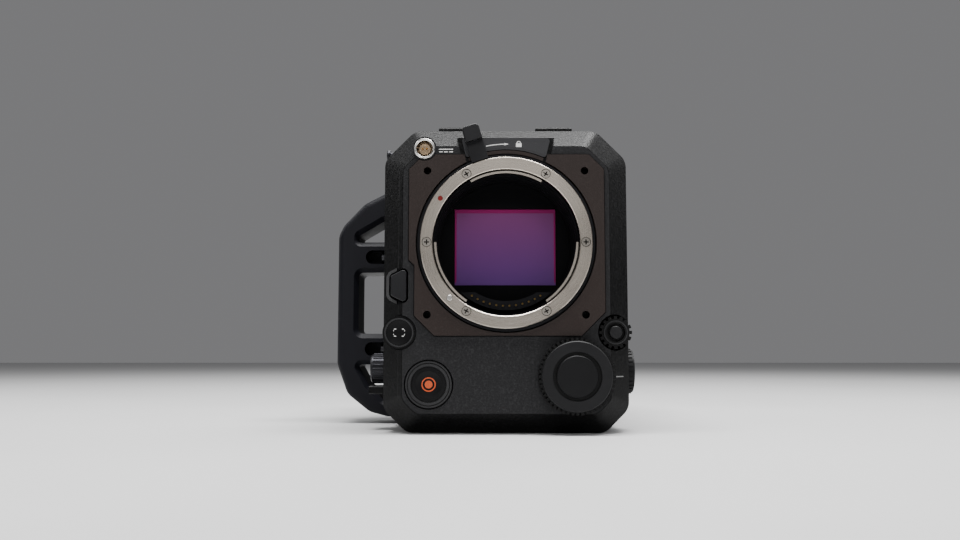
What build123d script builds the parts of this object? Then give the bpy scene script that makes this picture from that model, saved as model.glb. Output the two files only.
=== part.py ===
from build123d import *
import os
from math import atan2, cos, degrees, radians, sin, sqrt

os.makedirs("parts", exist_ok=True)

# Medium format digital camera, in millimetres.
# Frame: x to the right seen from the front, y from the lens to the rear, z up.
# The origin lies on the base face, under the middle of the image plane.

# Whole camera
body_width = 112.5
body_height = 140.0
body_length = 173.0
axis_drop = 53.7
flange_distance = 26.7
side_wall = 4.5
front_wall = 6.0
rear_wall = 4.0
front_length = 53.2
fit_gap = 0.3
slide_gap = 0.05
cut_over = 1.0

# Casing outline, seen from the front
top_cut = 14.0
bottom_cut = 11.0
casing_round = 8.0
bevel_width = 9.0
bevel_depth = 8.5
front_top_cut = 10.5
front_bottom_cut = 6.3
front_round = 6.0
inner_round = 1.0
seam_cut = 0.4
room_side = 16.25
room_cut = 4.0
room_step = 6.0
ledge_width = 5.0
ledge_depth = 3.0

# Lens mount
ring_thickness = 3.5
ring_proud = 1.0
ring_radius = 39.0
ring_bore = 33.4
ring_edge_cut = 0.3
tab_radius = 31.6
tab_lip_radius = 32.6
tab_setback = 1.3
tab_thickness = 1.4
tab_lip = 0.5
tab_groove_depth = 0.9
tab_angles = ((60.0, 120.0), (180.0, 236.0), (304.0, 360.0))
screw_circle = 36.0
screw_count = 6
mount_screw_head = 1.95
mount_screw_head_height = 1.0
mount_screw_gap = 0.28
mount_drive_width = 0.6
mount_drive_length = 2.4
mount_screw_shank = 0.9
mount_screw_length = 7.0
screw_below_flange = 0.2
drive_slot_width = 0.45
drive_slot_depth = 0.5
index_radius = 1.1
index_thickness = 0.75
index_angle = 146.3
index_circle = 35.9
pin_radius = 1.3
pin_angle = 224.8
pin_circle = 35.9
throat_radius = 33.6

# Mount plate and fascia
fascia_thickness = 1.5
fascia_margin = 0.4
plate_gap = 0.35
plate_top = 40.3
plate_bottom = 42.2
plate_right = 44.5
plate_left = 44.1
plate_left_low = 41.5
plate_step_high = 8.0
plate_step_low = 10.5
plate_top_cut = 6.8
plate_low_left_cut = 9.0
plate_low_right_cut = 10.7
plate_bore = 41.0
plate_hole_x = 35.75
plate_hole_z = 32.8
plate_hole_radius = 1.75
plate_thread_depth = 5.0

# Lock lever, its ring, its slot and the label plate
lock_ring_width = 1.3
lock_ring_front = 1.6
groove_depth = 2.2
lever_angle = 107.4
lever_width = 7.8
lever_tip = 55.5
lever_step = 48.4
lever_shank_thickness = 1.5
lever_head_thickness = 5.0
lever_round = 1.8
lever_edge = 0.5
slot_half_low = 18.0
slot_half_high = 20.9
slot_low = 36.5
slot_high = 48.5
slot_flank = 1.4
track_radius = 42.6
slot_plate_thickness = 0.9
label_inset = 0.4
label_round = 1.2

# Throat, sensor and cooler
baffle_steps = 5
baffle_step = 0.5
baffle_skin = 0.7
baffle_floor = 1.5
baffle_front_gap = 1.2
filter_width = 47.7
filter_height = 36.1
filter_thickness = 2.0
filter_back = 3.2
image_window_width = 45.3
image_window_height = 33.3
frame_width = 58.0
frame_height = 46.0
frame_front = 4.5
chip_width = 54.0
chip_height = 43.0
chip_thickness = 2.2
chip_cover = 1.0
board_thickness = 1.6
sensor_board_width = 70.0
sensor_board_height = 58.0
carrier_width = 76.0
carrier_height = 80.0
carrier_thickness = 3.0
post_x = 34.0
post_z = 35.5
post_radius = 3.5
sink_width = 64.0
sink_height = 56.0
sink_base = 3.0
fin_count = 9
fin_thickness = 1.6
fin_depth = 13.0

# Contact block in the throat
block_outer = 30.6
block_inner = 26.4
block_top = 22.4
block_front = 5.7
contact_count = 12
contact_circle = 28.6
contact_spread = 33.0
contact_radius = 0.45
contact_proud = 0.6
contact_depth = 2.0

# Record button
record_side = 21.35
record_z = 22.3
record_recess = 11.1
record_ring = 10.55
record_bore = 7.9
record_recess_depth = 4.5
record_ring_proud = 0.3
record_line_radius = 9.5
record_line_width = 0.3
record_button_thickness = 2.8
record_dish = 30.0
record_travel = 1.2
stem_radius = 2.5
collar_radius = 4.0
collar_thickness = 1.0

# Small round button on the left bevel
grab_side = 7.95
grab_z = 45.5
grab_recess = 7.8
grab_ring = 6.8
grab_bore = 5.95
grab_depth = 9.7
grab_lip = 0.5
grab_floor = 1.5
grab_button_thickness = 6.0
grab_travel = 0.8
grab_stem = 2.0

# Main dial
dial_side = 25.05
dial_z = 26.0
dial_radius = 15.7
dial_core = 16.1
knurl_count = 48
knurl_width = 1.25
knurl_height = 1.0
knurl_setback = 1.0
dial_depth = 5.9
dial_lift = 0.4
dial_groove = 10.9
dial_groove_depth = 1.3
dial_button_radius = 9.3
dial_button_thickness = 3.0
dial_button_proud = 0.2
dial_button_travel = 0.8
dial_stem = 3.0
dial_button_stem = 1.5
dial_button_stem_length = 2.6

# Small dial
small_side = 6.85
small_z = 45.6
small_recess = 8.2
small_core = 6.3
small_tooth_count = 16
small_tooth_width = 1.5
small_tooth_height = 1.1
small_depth = 7.5
small_ring = 5.4
small_groove = 4.2
small_ring_proud = 0.8
small_groove_depth = 2.2
small_button_radius = 2.9
small_button_proud = 0.3
small_button_thickness = 3.0
small_button_travel = 0.6
small_stem = 2.0

# Side knob
knob_y = 0.0
knob_z = 27.8
knob_radius = 10.6
knob_proud = 3.7
knob_grooves = 30
knob_groove_width = 0.8
knob_stem = 3.0
knob_stem_length = 8.0
knob_edge = 0.8

# Lens release
release_side = 11.15
release_drop = 19.6
release_tall = 16.1
release_short = 8.9
release_width = 7.1
release_gap = 0.8
release_round = 1.6
release_front = 25.2
release_travel = 1.5
release_flange = 1.2
release_flange_thickness = 1.1
release_wall_back = 15.5
link_thickness = 1.5
link_width = 4.0
link_end_radius = 2.0
guard_gap = 1.0
guard_width = 1.3
guard_front = 21.6
guard_reach = 4.6
leaf_thickness = 0.8
leaf_margin = 1.5
leaf_tongue_width = 5.0

# Lens power socket
socket_side = 19.05
socket_drop = 10.5
socket_radius = 4.75
socket_bore = 3.75
socket_collar = 5.5
socket_collar_front = 24.9
socket_front = 25.6
socket_floor_y = -15.0
socket_insert_front = 23.4
socket_insert_radius = 2.55
socket_well = 4.0
socket_pin_radius = 0.35
socket_pin_spacing = 1.9
socket_pin_length = 5.0
socket_pin_proud = 1.4

# Tape hook at the image plane
hook_drop = 8.4
hook_stem = 1.4
hook_head = 2.35
hook_head_thickness = 1.9
hook_reach = 6.2
hook_root = 4.0

# Round cable socket and ledge on the left side
cable_y = 6.0
cable_z = 29.0
cable_radius = 6.85
cable_reach = 7.75
cable_bore = 5.0
cable_thread = 5.5
cable_root = 8.0
cable_ridge_count = 24
cable_ridge_radius = 0.35
cable_edge = 0.6
cable_pin_radius = 0.5
cable_pin_count = 6
cable_pin_circle = 2.9
cable_insert_depth = 3.0
ledge_low = 17.0
ledge_high = 20.9
ledge_reach = 8.3
ledge_length = 13.0

# Top and base plates
top_side = 20.25
top_thickness = 5.0
top_front_y = -12.0
plate_rear_margin = 15.8
pad_height = 3.0
pad_left_side = 4.6
pad_left_width = 16.2
pad_right_side = 4.4
pad_right_width = 17.3
pad_margin = 1.5
pad_edge = 0.8
quarter_thread = 2.55
three_eighths_thread = 3.97
top_hole_pitch = 35.0
top_hole_first_y = 20.0
top_hole_count = 3
base_side = 18.25
base_thickness = 6.5
base_front_y = -5.0
base_main_hole_y = 45.0
base_hole_pitch = 22.0
plate_corner = 4.0

# Side panels
panel_thickness = 2.5
panel_low = 25.0
panel_drop = 26.0
panel_corner = 4.0
right_panel_start = 6.0
left_panel_start = 46.0
panel_rear_margin = 5.8
panel_ledge = 5.0
panel_gap = 0.2

# Display, buttons and power switch on the right panel
display_start = 33.0
display_drop = 26.0
display_width = 50.0
display_height = 38.0
display_overlap = 2.0
display_glass_sink = 0.2
display_module_thickness = 3.5
button_z = 56.0
button_start = 21.0
button_pitch = 24.0
button_count = 2
button_radius = 4.0
button_collar = 4.8
button_collar_thickness = 1.0
button_proud = 1.1
button_back = 5.3
button_travel = 0.8
side_board_depth = 7.2
side_board_width = 52.0
side_board_low = 31.0
side_board_drop = 6.0
side_post = 2.0
switch_radius = 2.4
switch_gap = 0.1
power_start = 30.0
power_z = 37.0
power_length = 7.8
power_height = 5.0
power_travel = 5.6
power_proud = 1.3
power_flange = 2.0
power_flange_thickness = 1.2

# Card cage and media door
door_length = 34.0
door_rear_margin = 6.2
door_axis_z = 42.5
door_top = 85.7
door_thickness = 2.0
door_gap = 0.3
door_pin_radius = 0.6
door_pin_reach = 1.6
door_notch_radius = 5.0
door_notch_depth = 0.8
cage_depth = 43.75
cage_margin = 0.6
cage_low = 44.0
cage_high = 84.0
card_width = 30.2
card_height = 4.4
card_depth = 36.0
card_pitch = 18.0
card_count = 2

# Boards inside
main_board_ground = 1.0
chip_square = 30.0
chip_rise = 2.5
memory_width = 12.0
memory_rise = 1.4
spacer_radius = 2.5
spacer_length = 15.0
spacer_side = 13.75
spacer_low_z = 40.0
spacer_drop = 30.0
power_board_side = 8.75
power_board_low = 34.0
power_board_drop = 24.0
coil_radius = 6.0
coil_height = 6.0
coil_count = 4
capacitor_radius = 4.0
capacitor_height = 12.0
capacitor_count = 5

# Control board behind the front wall
control_side = 1.75
control_low = 14.6
control_high = 43.5
control_ear_high = 51.0
control_ear_width = 9.5
control_switch_side = 9.0
stem_stop = 0.3

# Fan
fan_rear_margin = 32.0
fan_side = 50.0
fan_depth = 12.0
fan_bore = 23.5
fan_hub = 9.0
fan_hub_depth = 8.0
fan_blades = 7
fan_blade_tip = 22.6
fan_blade_thickness = 1.2
fan_blade_chord = 8.0
fan_blade_pitch = 35.0
fan_spoke_width = 3.0
fan_spoke_thickness = 1.6
fan_shaft = 1.5
vent_count = 7
vent_pitch = 6.0
vent_height = 3.0
vent_length = 42.0

# Rear plate, battery plate and video sockets
rear_edge = 1.5
battery_x = 13.0
battery_width = 72.0
battery_margin = 21.0
battery_thickness = 7.0
battery_edge = 1.2
wedge_top = 50.0
wedge_bottom = 34.0
wedge_height = 62.0
wedge_depth = 5.0
wedge_lift = 6.0
catch_width = 9.0
catch_height = 14.0
catch_thickness = 5.0
catch_travel = 3.0
catch_overlap = 2.0
catch_z_lift = 18.0
catch_tab = 2.0
contact_pad_count = 4
contact_pad_pitch = 6.0
contact_pad_width = 3.0
contact_pad_height = 9.0
contact_pad_proud = 1.2
video_side = 18.25
video_drop = 78.0
video_pitch = 24.0
video_count = 3
video_flange = 7.0
video_flange_thickness = 1.5
video_barrel = 4.8
video_length = 10.0
video_bore = 3.6
video_pin = 0.7
video_lug = 1.0

# Casing screws
case_screw_head = 2.2
case_screw_head_height = 1.3
case_screw_shank = 1.1
case_screw_length = 8.0
case_screw_slot = 0.5
rear_screw_side = 8.75
rear_screw_low = 14.5
rear_screw_drop = 18.0
rear_boss = 5.0
rear_boss_length = 30.0
panel_screw_inset = 3.2

# Side handle
handle_start = 11.3
handle_depth = 28.0
handle_reach = 30.25
handle_bar = 10.8
handle_strip = 4.2
handle_drop = 16.5
handle_shoulder_fall = 20.0
handle_shoulder_drop = 5.5
handle_arm = 9.5
handle_bulge = 2.4
handle_bulge_share = 0.55
cross_high_fall = 37.0
cross_low_z = 38.4
cross_height = 16.0
handle_bend_z = 30.5
handle_knee_share = 0.75
handle_foot_z = 3.6
handle_sole_z = 6.0
handle_foot_reach = 4.2
handle_round = 3.0
window_round = 2.5
window_bevel = 2.4
pocket_height = 7.2
pocket_depth = 10.0
pocket_length = 11.5
handle_screw_head = 3.2
handle_screw_head_height = 3.4
handle_screw_shank = 2.0
handle_screw_length = 8.0
handle_screw_setback = 6.0
handle_hex = 1.5
handle_hex_depth = 1.8

# Places worked out from the sizes above
body_half = body_width / 2
flange_y = -flange_distance
front_y = flange_y + ring_thickness
plate_front_y = flange_y + ring_proud
fascia_front_y = front_y - fascia_thickness
wall_back_y = front_y + front_wall
bevel_back_y = front_y + bevel_depth
room_back_y = bevel_back_y + room_step
split_y = front_y + front_length
rear_y = front_y + body_length
rear_plate_y = rear_y - rear_wall
front_half = body_half - bevel_width
front_high = body_height - bevel_width
floor_thickness = base_thickness + side_wall
roof_thickness = top_thickness + side_wall
inner_half = body_half - side_wall
panel_inner = body_half - panel_thickness
corner_gain = side_wall * (sqrt(2) - 1)
axis_height = body_height - axis_drop
record_x = record_side - body_half
grab_x = grab_side - body_half
dial_x = body_half - dial_side
small_x = body_half - small_side
release_right = release_side - body_half
release_z = axis_height - release_drop
socket_x = socket_side - body_half
socket_z = body_height - socket_drop
hook_z = body_height - hook_drop
top_half = body_half - top_side
base_half = body_half - base_side
room_half = body_half - room_side
control_half = inner_half - control_side
spacer_x = inner_half - spacer_side
power_board_width = (inner_half - power_board_side) * 2
cage_inner_x = panel_inner - cage_depth
rear_screw_x = body_half - rear_screw_side
rear_screw_high = body_height - rear_screw_drop
handle_outer = body_half + handle_reach
handle_top_z = body_height - handle_drop
handle_shoulder_z = handle_top_z - handle_shoulder_fall
cross_high_z = handle_top_z - cross_high_fall
video_x = video_side - body_half
video_first_z = body_height - video_drop
panel_high = body_height - panel_drop
display_z = panel_high - display_drop
side_board_high = panel_high - side_board_drop
spacer_high_z = body_height - spacer_drop
power_board_high = body_height - power_board_drop
battery_height = body_height - battery_margin * 2
battery_z = body_height / 2
fan_z = body_height / 2
panel_rear = rear_plate_y - panel_rear_margin
plate_rear_y = rear_plate_y - plate_rear_margin
right_panel_front = split_y + right_panel_start
left_panel_front = split_y + left_panel_start
handle_front_y = split_y + handle_start
display_y = right_panel_front + display_start
side_board_y = display_y
button_first_y = right_panel_front + button_start
power_y = right_panel_front + power_start
fan_y = panel_rear - fan_rear_margin
door_rear = panel_rear - door_rear_margin
door_front = door_rear - door_length
pad_left_start = pad_left_side - top_half
pad_left_end = pad_left_start + pad_left_width
pad_right_end = top_half - pad_right_side
pad_right_start = pad_right_end - pad_right_width


def front_plane(y):
    """Plane at depth y that faces the lens side, in body coordinates."""
    return Plane.XZ.offset(-y)


def axis_plane(y):
    """Plane at depth y that faces the lens side, with its centre on the lens axis."""
    return Plane(origin=(0, y, axis_height), x_dir=(1, 0, 0), z_dir=(0, -1, 0))


def spot_plane(x, y, z):
    """Plane facing the lens side with its centre at one spot of the front."""
    return Plane(origin=(x, y, z), x_dir=(1, 0, 0), z_dir=(0, -1, 0))


def side_plane(x, y=0, z=0):
    """Plane facing +x, with y to its right and z up."""
    return Plane(origin=(x, y, z), x_dir=(0, 1, 0), z_dir=(1, 0, 0))


def polar(radius, angle):
    """Point at an angle on a circle."""
    return (radius * cos(radians(angle)), radius * sin(radians(angle)))


def outline(half, low, high, low_cut, high_cut, rounding):
    """Closed outline with cut corners and rounded edges, seen from the front."""
    with BuildSketch() as face:
        with BuildLine():
            Polyline(
                (-half, low + low_cut),
                (-half + low_cut, low),
                (half - low_cut, low),
                (half, low + low_cut),
                (half, high - high_cut),
                (half - high_cut, high),
                (-half + high_cut, high),
                (-half, high - high_cut),
                close=True,
            )
        make_face()
        fillet(face.vertices(), rounding)
    return face.sketch


def ring_sector(inner, outer, start, end):
    """Piece of a flat ring between two angles."""
    with BuildSketch() as face:
        with BuildLine():
            CenterArc((0, 0), inner, start, end - start)
            CenterArc((0, 0), outer, start, end - start)
            Line(polar(inner, start), polar(outer, start))
            Line(polar(inner, end), polar(outer, end))
        make_face()
    return face.sketch


def polygon(*points):
    """Closed face through the given corners."""
    with BuildSketch() as face:
        with BuildLine():
            Polyline(*points, close=True)
        make_face()
    return face.sketch


def slot_face(grow=0):
    """Trapezoid over the lock lever's travel, about the lens axis."""
    with BuildSketch() as face:
        add(
            polygon(
                (-slot_half_low - grow, slot_low),
                (slot_half_low + grow, slot_low),
                (slot_half_high + grow, slot_high),
                (-slot_half_high - grow, slot_high),
            )
        )
    return face.sketch


def plate_outline(grow=0):
    """Mount plate's outline about the lens axis, with the notch beside the release button."""
    with BuildSketch() as face:
        add(
            polygon(
                (-plate_left, plate_top - plate_top_cut),
                (-plate_left, -plate_step_high),
                (-plate_left_low, -plate_step_low),
                (-plate_left_low, -plate_bottom + plate_low_left_cut),
                (-plate_left_low + plate_low_left_cut, -plate_bottom),
                (plate_right - plate_low_right_cut, -plate_bottom),
                (plate_right, -plate_bottom + plate_low_right_cut),
                (plate_right, plate_top - plate_top_cut),
                (plate_right - plate_top_cut, plate_top),
                (-plate_left + plate_top_cut, plate_top),
            )
        )
        if grow:
            offset(amount=grow, kind=Kind.INTERSECTION)
    return face.sketch


def release_face(grow=0):
    """Lens release button's outline in body coordinates."""
    release_left = release_right - release_width
    with BuildSketch() as face:
        add(
            polygon(
                (release_right, release_z - release_tall / 2),
                (release_right, release_z + release_tall / 2),
                (release_left, release_z + release_short / 2),
                (release_left, release_z - release_short / 2),
            )
        )
        fillet(face.vertices(), release_round)
        if grow:
            offset(amount=grow)
    return face.sketch


def toothed_disc(core, count, width, height):
    """Disc with square teeth round its rim."""
    with BuildSketch() as face:
        Circle(core)
        with PolarLocations(core, count):
            Rectangle(height * 2, width)
    return face.sketch


def inner_outline(inset=0):
    """Inside of the casing, drawn in by an inset."""
    return outline(
        inner_half - inset,
        floor_thickness + inset,
        body_height - roof_thickness - inset,
        bottom_cut + corner_gain - base_thickness,
        top_cut + corner_gain - top_thickness,
        inner_round,
    )


def save(piece, name):
    """Label a finished piece and write it to its own file."""
    piece.part.label = name
    export_step(piece.part, f"parts/{name}.step")


casing_face = outline(body_half, 0, body_height, bottom_cut, top_cut, casing_round)
front_face = outline(
    front_half, bevel_width, front_high, front_bottom_cut, front_top_cut, front_round
)

# Front housing: bevelled casting that carries the lens mount and the front controls
release_room_left = release_right - release_width - release_flange - fit_gap
release_room_right = -room_half + link_width
release_room_half = release_tall / 2 + release_flange + fit_gap
pocket_floor_y = fascia_front_y + record_recess_depth
grab_floor_y = fascia_front_y + grab_depth
stem_hole = stem_radius + slide_gap
pin_proud = release_travel - fit_gap
pin_x, pin_dz = polar(pin_circle, pin_angle)

with BuildPart() as front_housing:
    with BuildSketch(front_plane(bevel_back_y)):
        add(casing_face)
    with BuildSketch(front_plane(front_y)):
        add(front_face)
    loft(ruled=True)
    with BuildSketch(front_plane(split_y)):
        add(casing_face)
    extrude(amount=split_y - bevel_back_y)
    chamfer(
        front_housing.faces().sort_by(Axis.Y)[-1].edges(),
        length=seam_cut,
    )
    # Raised seat of the label plate above the lens
    with BuildSketch(axis_plane(bevel_back_y)):
        add(slot_face(slot_flank))
    extrude(amount=bevel_depth)
    # Boss under the lens power socket's collar
    with BuildSketch(spot_plane(socket_x, socket_floor_y, socket_z)):
        Circle(socket_collar)
    extrude(amount=socket_floor_y - front_y)
    # Guard rib beside the release button
    with BuildSketch(front_plane(bevel_back_y)):
        add(release_face(guard_gap + guard_width))
        add(release_face(guard_gap), mode=Mode.SUBTRACT)
        with Locations((release_right - guard_reach + body_half / 2, release_z)):
            Rectangle(body_half, body_half, mode=Mode.SUBTRACT)
    extrude(amount=guard_front + bevel_back_y)
    # Ledge under the round cable socket
    with BuildSketch(side_plane(-body_half, cable_y, (ledge_low + ledge_high) / 2)):
        RectangleRounded(ledge_length, ledge_high - ledge_low, (ledge_high - ledge_low) / 4)
    extrude(amount=-ledge_reach)
    # Rooms inside
    with BuildSketch(front_plane(room_back_y)):
        add(
            outline(
                room_half,
                bevel_width + side_wall,
                front_high - side_wall,
                room_cut,
                room_cut,
                inner_round,
            )
        )
    extrude(amount=room_back_y - wall_back_y, mode=Mode.SUBTRACT)
    with BuildSketch(front_plane(split_y)):
        add(inner_outline())
    extrude(amount=split_y - room_back_y, mode=Mode.SUBTRACT)
    with BuildSketch(front_plane(room_back_y)):
        with Locations(((release_room_left + release_room_right) / 2, release_z)):
            Rectangle(release_room_right - release_room_left, release_room_half * 2)
    extrude(amount=room_back_y + release_wall_back, mode=Mode.SUBTRACT)
    # Seats of the top and base plates
    with BuildSketch(Plane.XY.offset(body_height - top_thickness)):
        with Locations((0, (top_front_y - fit_gap + split_y + cut_over) / 2)):
            Rectangle(
                (top_half + fit_gap) * 2, split_y + cut_over - top_front_y + fit_gap
            )
    extrude(amount=top_thickness + cut_over, mode=Mode.SUBTRACT)
    with BuildSketch(Plane.XY):
        with Locations((0, (base_front_y - fit_gap + split_y + cut_over) / 2)):
            Rectangle(
                (base_half + fit_gap) * 2, split_y + cut_over - base_front_y + fit_gap
            )
    extrude(amount=base_thickness, mode=Mode.SUBTRACT)
    # Lens throat, groove of the lock ring and holes of the mount
    with BuildSketch(axis_plane(wall_back_y + cut_over)):
        Circle(throat_radius)
    extrude(amount=front_wall + cut_over * 2, mode=Mode.SUBTRACT)
    with BuildSketch(axis_plane(front_y + groove_depth)):
        Circle(ring_radius + lock_ring_width + fit_gap)
        Circle(ring_radius - fit_gap, mode=Mode.SUBTRACT)
    extrude(amount=groove_depth, mode=Mode.SUBTRACT)
    with BuildSketch(axis_plane(flange_y + screw_below_flange + mount_screw_length + fit_gap)):
        with PolarLocations(screw_circle, screw_count):
            Circle(mount_screw_shank + slide_gap)
    extrude(amount=mount_screw_length, mode=Mode.SUBTRACT)
    with BuildSketch(axis_plane(wall_back_y + cut_over)):
        with Locations(polar(pin_circle, pin_angle)):
            Circle(pin_radius + slide_gap)
    extrude(amount=front_wall + cut_over * 2, mode=Mode.SUBTRACT)
    with BuildSketch(axis_plane(front_y + plate_thread_depth)):
        with GridLocations(plate_hole_x * 2, plate_hole_z * 2, 2, 2):
            Circle(plate_hole_radius)
    extrude(amount=plate_thread_depth, mode=Mode.SUBTRACT)
    # Recesses and holes of the controls
    with BuildSketch(spot_plane(record_x, pocket_floor_y, record_z)):
        Circle(record_recess)
    extrude(amount=record_recess_depth, mode=Mode.SUBTRACT)
    with BuildSketch(spot_plane(record_x, wall_back_y + cut_over, record_z)):
        Circle(stem_hole)
    extrude(amount=front_wall + cut_over, mode=Mode.SUBTRACT)
    with BuildSketch(spot_plane(grab_x, grab_floor_y, grab_z)):
        Circle(grab_recess)
    extrude(amount=grab_depth + cut_over, mode=Mode.SUBTRACT)
    with BuildSketch(spot_plane(grab_x, room_back_y + cut_over, grab_z)):
        Circle(grab_stem + slide_gap)
    extrude(amount=bevel_depth + room_step + cut_over, mode=Mode.SUBTRACT)
    with BuildSketch(spot_plane(small_x, bevel_back_y, small_z)):
        Circle(small_recess)
    extrude(amount=bevel_depth + cut_over, mode=Mode.SUBTRACT)
    with BuildSketch(spot_plane(small_x, room_back_y + cut_over, small_z)):
        Circle(small_stem + slide_gap)
    extrude(amount=room_step + cut_over * 2, mode=Mode.SUBTRACT)
    with BuildSketch(spot_plane(dial_x, wall_back_y + cut_over, dial_z)):
        Circle(dial_stem + slide_gap)
    extrude(amount=front_wall + cut_over * 2, mode=Mode.SUBTRACT)
    with BuildSketch(front_plane(-release_wall_back + cut_over)):
        add(release_face(release_gap))
    extrude(amount=bevel_depth + cut_over, mode=Mode.SUBTRACT)
    # Lens power socket, tape hook, cable socket and side knob
    with BuildSketch(spot_plane(socket_x, socket_floor_y, socket_z)):
        Circle(socket_radius + slide_gap)
    extrude(amount=socket_collar_front, mode=Mode.SUBTRACT)
    with BuildSketch(spot_plane(socket_x, room_back_y + cut_over, socket_z)):
        Circle(socket_bore)
    extrude(amount=room_step + cut_over * 2, mode=Mode.SUBTRACT)
    with BuildSketch(side_plane(-body_half, 0, hook_z)):
        Circle(hook_stem + slide_gap)
    extrude(amount=top_cut, mode=Mode.SUBTRACT)
    with BuildSketch(side_plane(-body_half, cable_y, cable_z)):
        Circle(cable_thread + slide_gap)
    extrude(amount=cable_root, mode=Mode.SUBTRACT)
    with BuildSketch(side_plane(body_half, knob_y, knob_z)):
        Circle(knob_stem + slide_gap)
    extrude(amount=-knob_stem_length, mode=Mode.SUBTRACT)
save(front_housing, "front_housing")

# Mount plate round the lens, with the lever's curved track in its slot
with BuildPart() as mount_plate:
    with BuildSketch(axis_plane(front_y)):
        add(plate_outline())
        Circle(plate_bore, mode=Mode.SUBTRACT)
        add(slot_face(), mode=Mode.SUBTRACT)
        with Locations((socket_x, socket_z - axis_height)):
            Circle(socket_collar + fit_gap, mode=Mode.SUBTRACT)
        with GridLocations(plate_hole_x * 2, plate_hole_z * 2, 2, 2):
            Circle(plate_hole_radius, mode=Mode.SUBTRACT)
    extrude(amount=front_y - plate_front_y)
    with BuildSketch(axis_plane(front_y)):
        Circle(track_radius)
        Circle(plate_bore, mode=Mode.SUBTRACT)
        add(slot_face(slot_flank / 2), mode=Mode.INTERSECT)
    extrude(amount=slot_plate_thickness)
    # Sunk strips at both ends of the track
    with BuildSketch(axis_plane(front_y - slot_plate_thickness / 2)):
        add(slot_face())
        add(slot_face(-slot_flank), mode=Mode.SUBTRACT)
    extrude(amount=slot_plate_thickness, mode=Mode.SUBTRACT)
save(mount_plate, "mount_plate")

# Front fascia: thin plate over the front, open for the mount plate and every control
with BuildPart() as front_fascia:
    with BuildSketch(front_plane(front_y)):
        add(
            outline(
                front_half - fascia_margin,
                bevel_width + fascia_margin,
                front_high - fascia_margin,
                front_bottom_cut,
                front_top_cut,
                front_round,
            )
        )
        with Locations((0, axis_height)):
            add(plate_outline(plate_gap), mode=Mode.SUBTRACT)
            add(slot_face(slot_flank + fit_gap), mode=Mode.SUBTRACT)
        with Locations((record_x, record_z)):
            Circle(record_recess, mode=Mode.SUBTRACT)
        with Locations((grab_x, grab_z)):
            Circle(grab_recess, mode=Mode.SUBTRACT)
        with Locations((small_x, small_z)):
            Circle(small_recess, mode=Mode.SUBTRACT)
        with Locations((dial_x, dial_z)):
            Circle(dial_stem + fit_gap, mode=Mode.SUBTRACT)
        add(release_face(release_gap), mode=Mode.SUBTRACT)
    extrude(amount=fascia_thickness)
    # Collar round the lens power socket
    with BuildSketch(spot_plane(socket_x, front_y, socket_z)):
        Circle(socket_collar)
    extrude(amount=front_y + socket_collar_front)
    with BuildSketch(spot_plane(socket_x, front_y, socket_z)):
        Circle(socket_radius + slide_gap)
    extrude(amount=front_y + socket_collar_front, mode=Mode.SUBTRACT)
save(front_fascia, "front_fascia")

# Label plate on its raised seat, above the track
with BuildPart() as label_plate:
    with BuildSketch(axis_plane(front_y)) as label_sketch:
        add(slot_face(-label_inset))
        Circle(track_radius + label_inset, mode=Mode.SUBTRACT)
        with Locations((0, slot_high)):
            Rectangle(body_width, label_inset * 2, mode=Mode.SUBTRACT)
        fillet(label_sketch.vertices().group_by(Axis.Z)[-1], label_round)
    extrude(amount=slot_plate_thickness)
save(label_plate, "label_plate")

# Bayonet mount ring with its three tabs
tab_front_y = flange_y + tab_setback
with BuildPart() as mount_ring:
    with BuildSketch(axis_plane(front_y)):
        Circle(ring_radius)
        Circle(ring_bore, mode=Mode.SUBTRACT)
    extrude(amount=ring_thickness)
    chamfer(mount_ring.faces().sort_by(Axis.Y)[0].edges(), length=ring_edge_cut)
    with BuildSketch(axis_plane(tab_front_y + tab_thickness)):
        for start, end in tab_angles:
            add(ring_sector(tab_radius, ring_bore + fit_gap, start, end))
    extrude(amount=tab_thickness)
    with BuildSketch(axis_plane(tab_front_y)):
        for start, end in tab_angles:
            add(ring_sector(tab_radius, tab_lip_radius, start, end))
    extrude(amount=tab_lip)
    with BuildSketch(axis_plane(tab_front_y + tab_groove_depth)):
        for start, end in tab_angles:
            add(ring_sector(tab_lip_radius, ring_bore, start, end))
    extrude(amount=tab_groove_depth, mode=Mode.SUBTRACT)
    with BuildSketch(axis_plane(front_y)):
        with PolarLocations(screw_circle, screw_count):
            Circle(mount_screw_shank + slide_gap)
        with Locations(polar(pin_circle, pin_angle)):
            Circle(pin_radius + slide_gap)
    extrude(amount=ring_thickness, mode=Mode.SUBTRACT)
    with BuildSketch(axis_plane(flange_y + screw_below_flange + mount_screw_head_height)):
        with PolarLocations(screw_circle, screw_count):
            Circle(mount_screw_head + mount_screw_gap)
    extrude(amount=ring_thickness, mode=Mode.SUBTRACT)
    with BuildSketch(axis_plane(flange_y + index_thickness + slide_gap)):
        with Locations(polar(index_circle, index_angle)):
            Circle(index_radius + slide_gap)
    extrude(amount=ring_thickness, mode=Mode.SUBTRACT)
save(mount_ring, "mount_ring")

# Screws of the mount ring
screw_front_y = flange_y + screw_below_flange
with BuildPart() as mount_screws:
    with BuildSketch(axis_plane(screw_front_y + mount_screw_head_height)):
        with PolarLocations(screw_circle, screw_count):
            Circle(mount_screw_head)
    extrude(amount=mount_screw_head_height)
    with BuildSketch(axis_plane(screw_front_y + mount_screw_length)):
        with PolarLocations(screw_circle, screw_count):
            Circle(mount_screw_shank)
    extrude(amount=mount_screw_length - mount_screw_head_height)
    with BuildSketch(axis_plane(screw_front_y + drive_slot_depth)):
        with PolarLocations(screw_circle, screw_count):
            Rectangle(mount_drive_length, mount_drive_width)
            Rectangle(mount_drive_width, mount_drive_length)
    extrude(amount=drive_slot_depth, mode=Mode.SUBTRACT)
save(mount_screws, "mount_screws")

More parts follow.
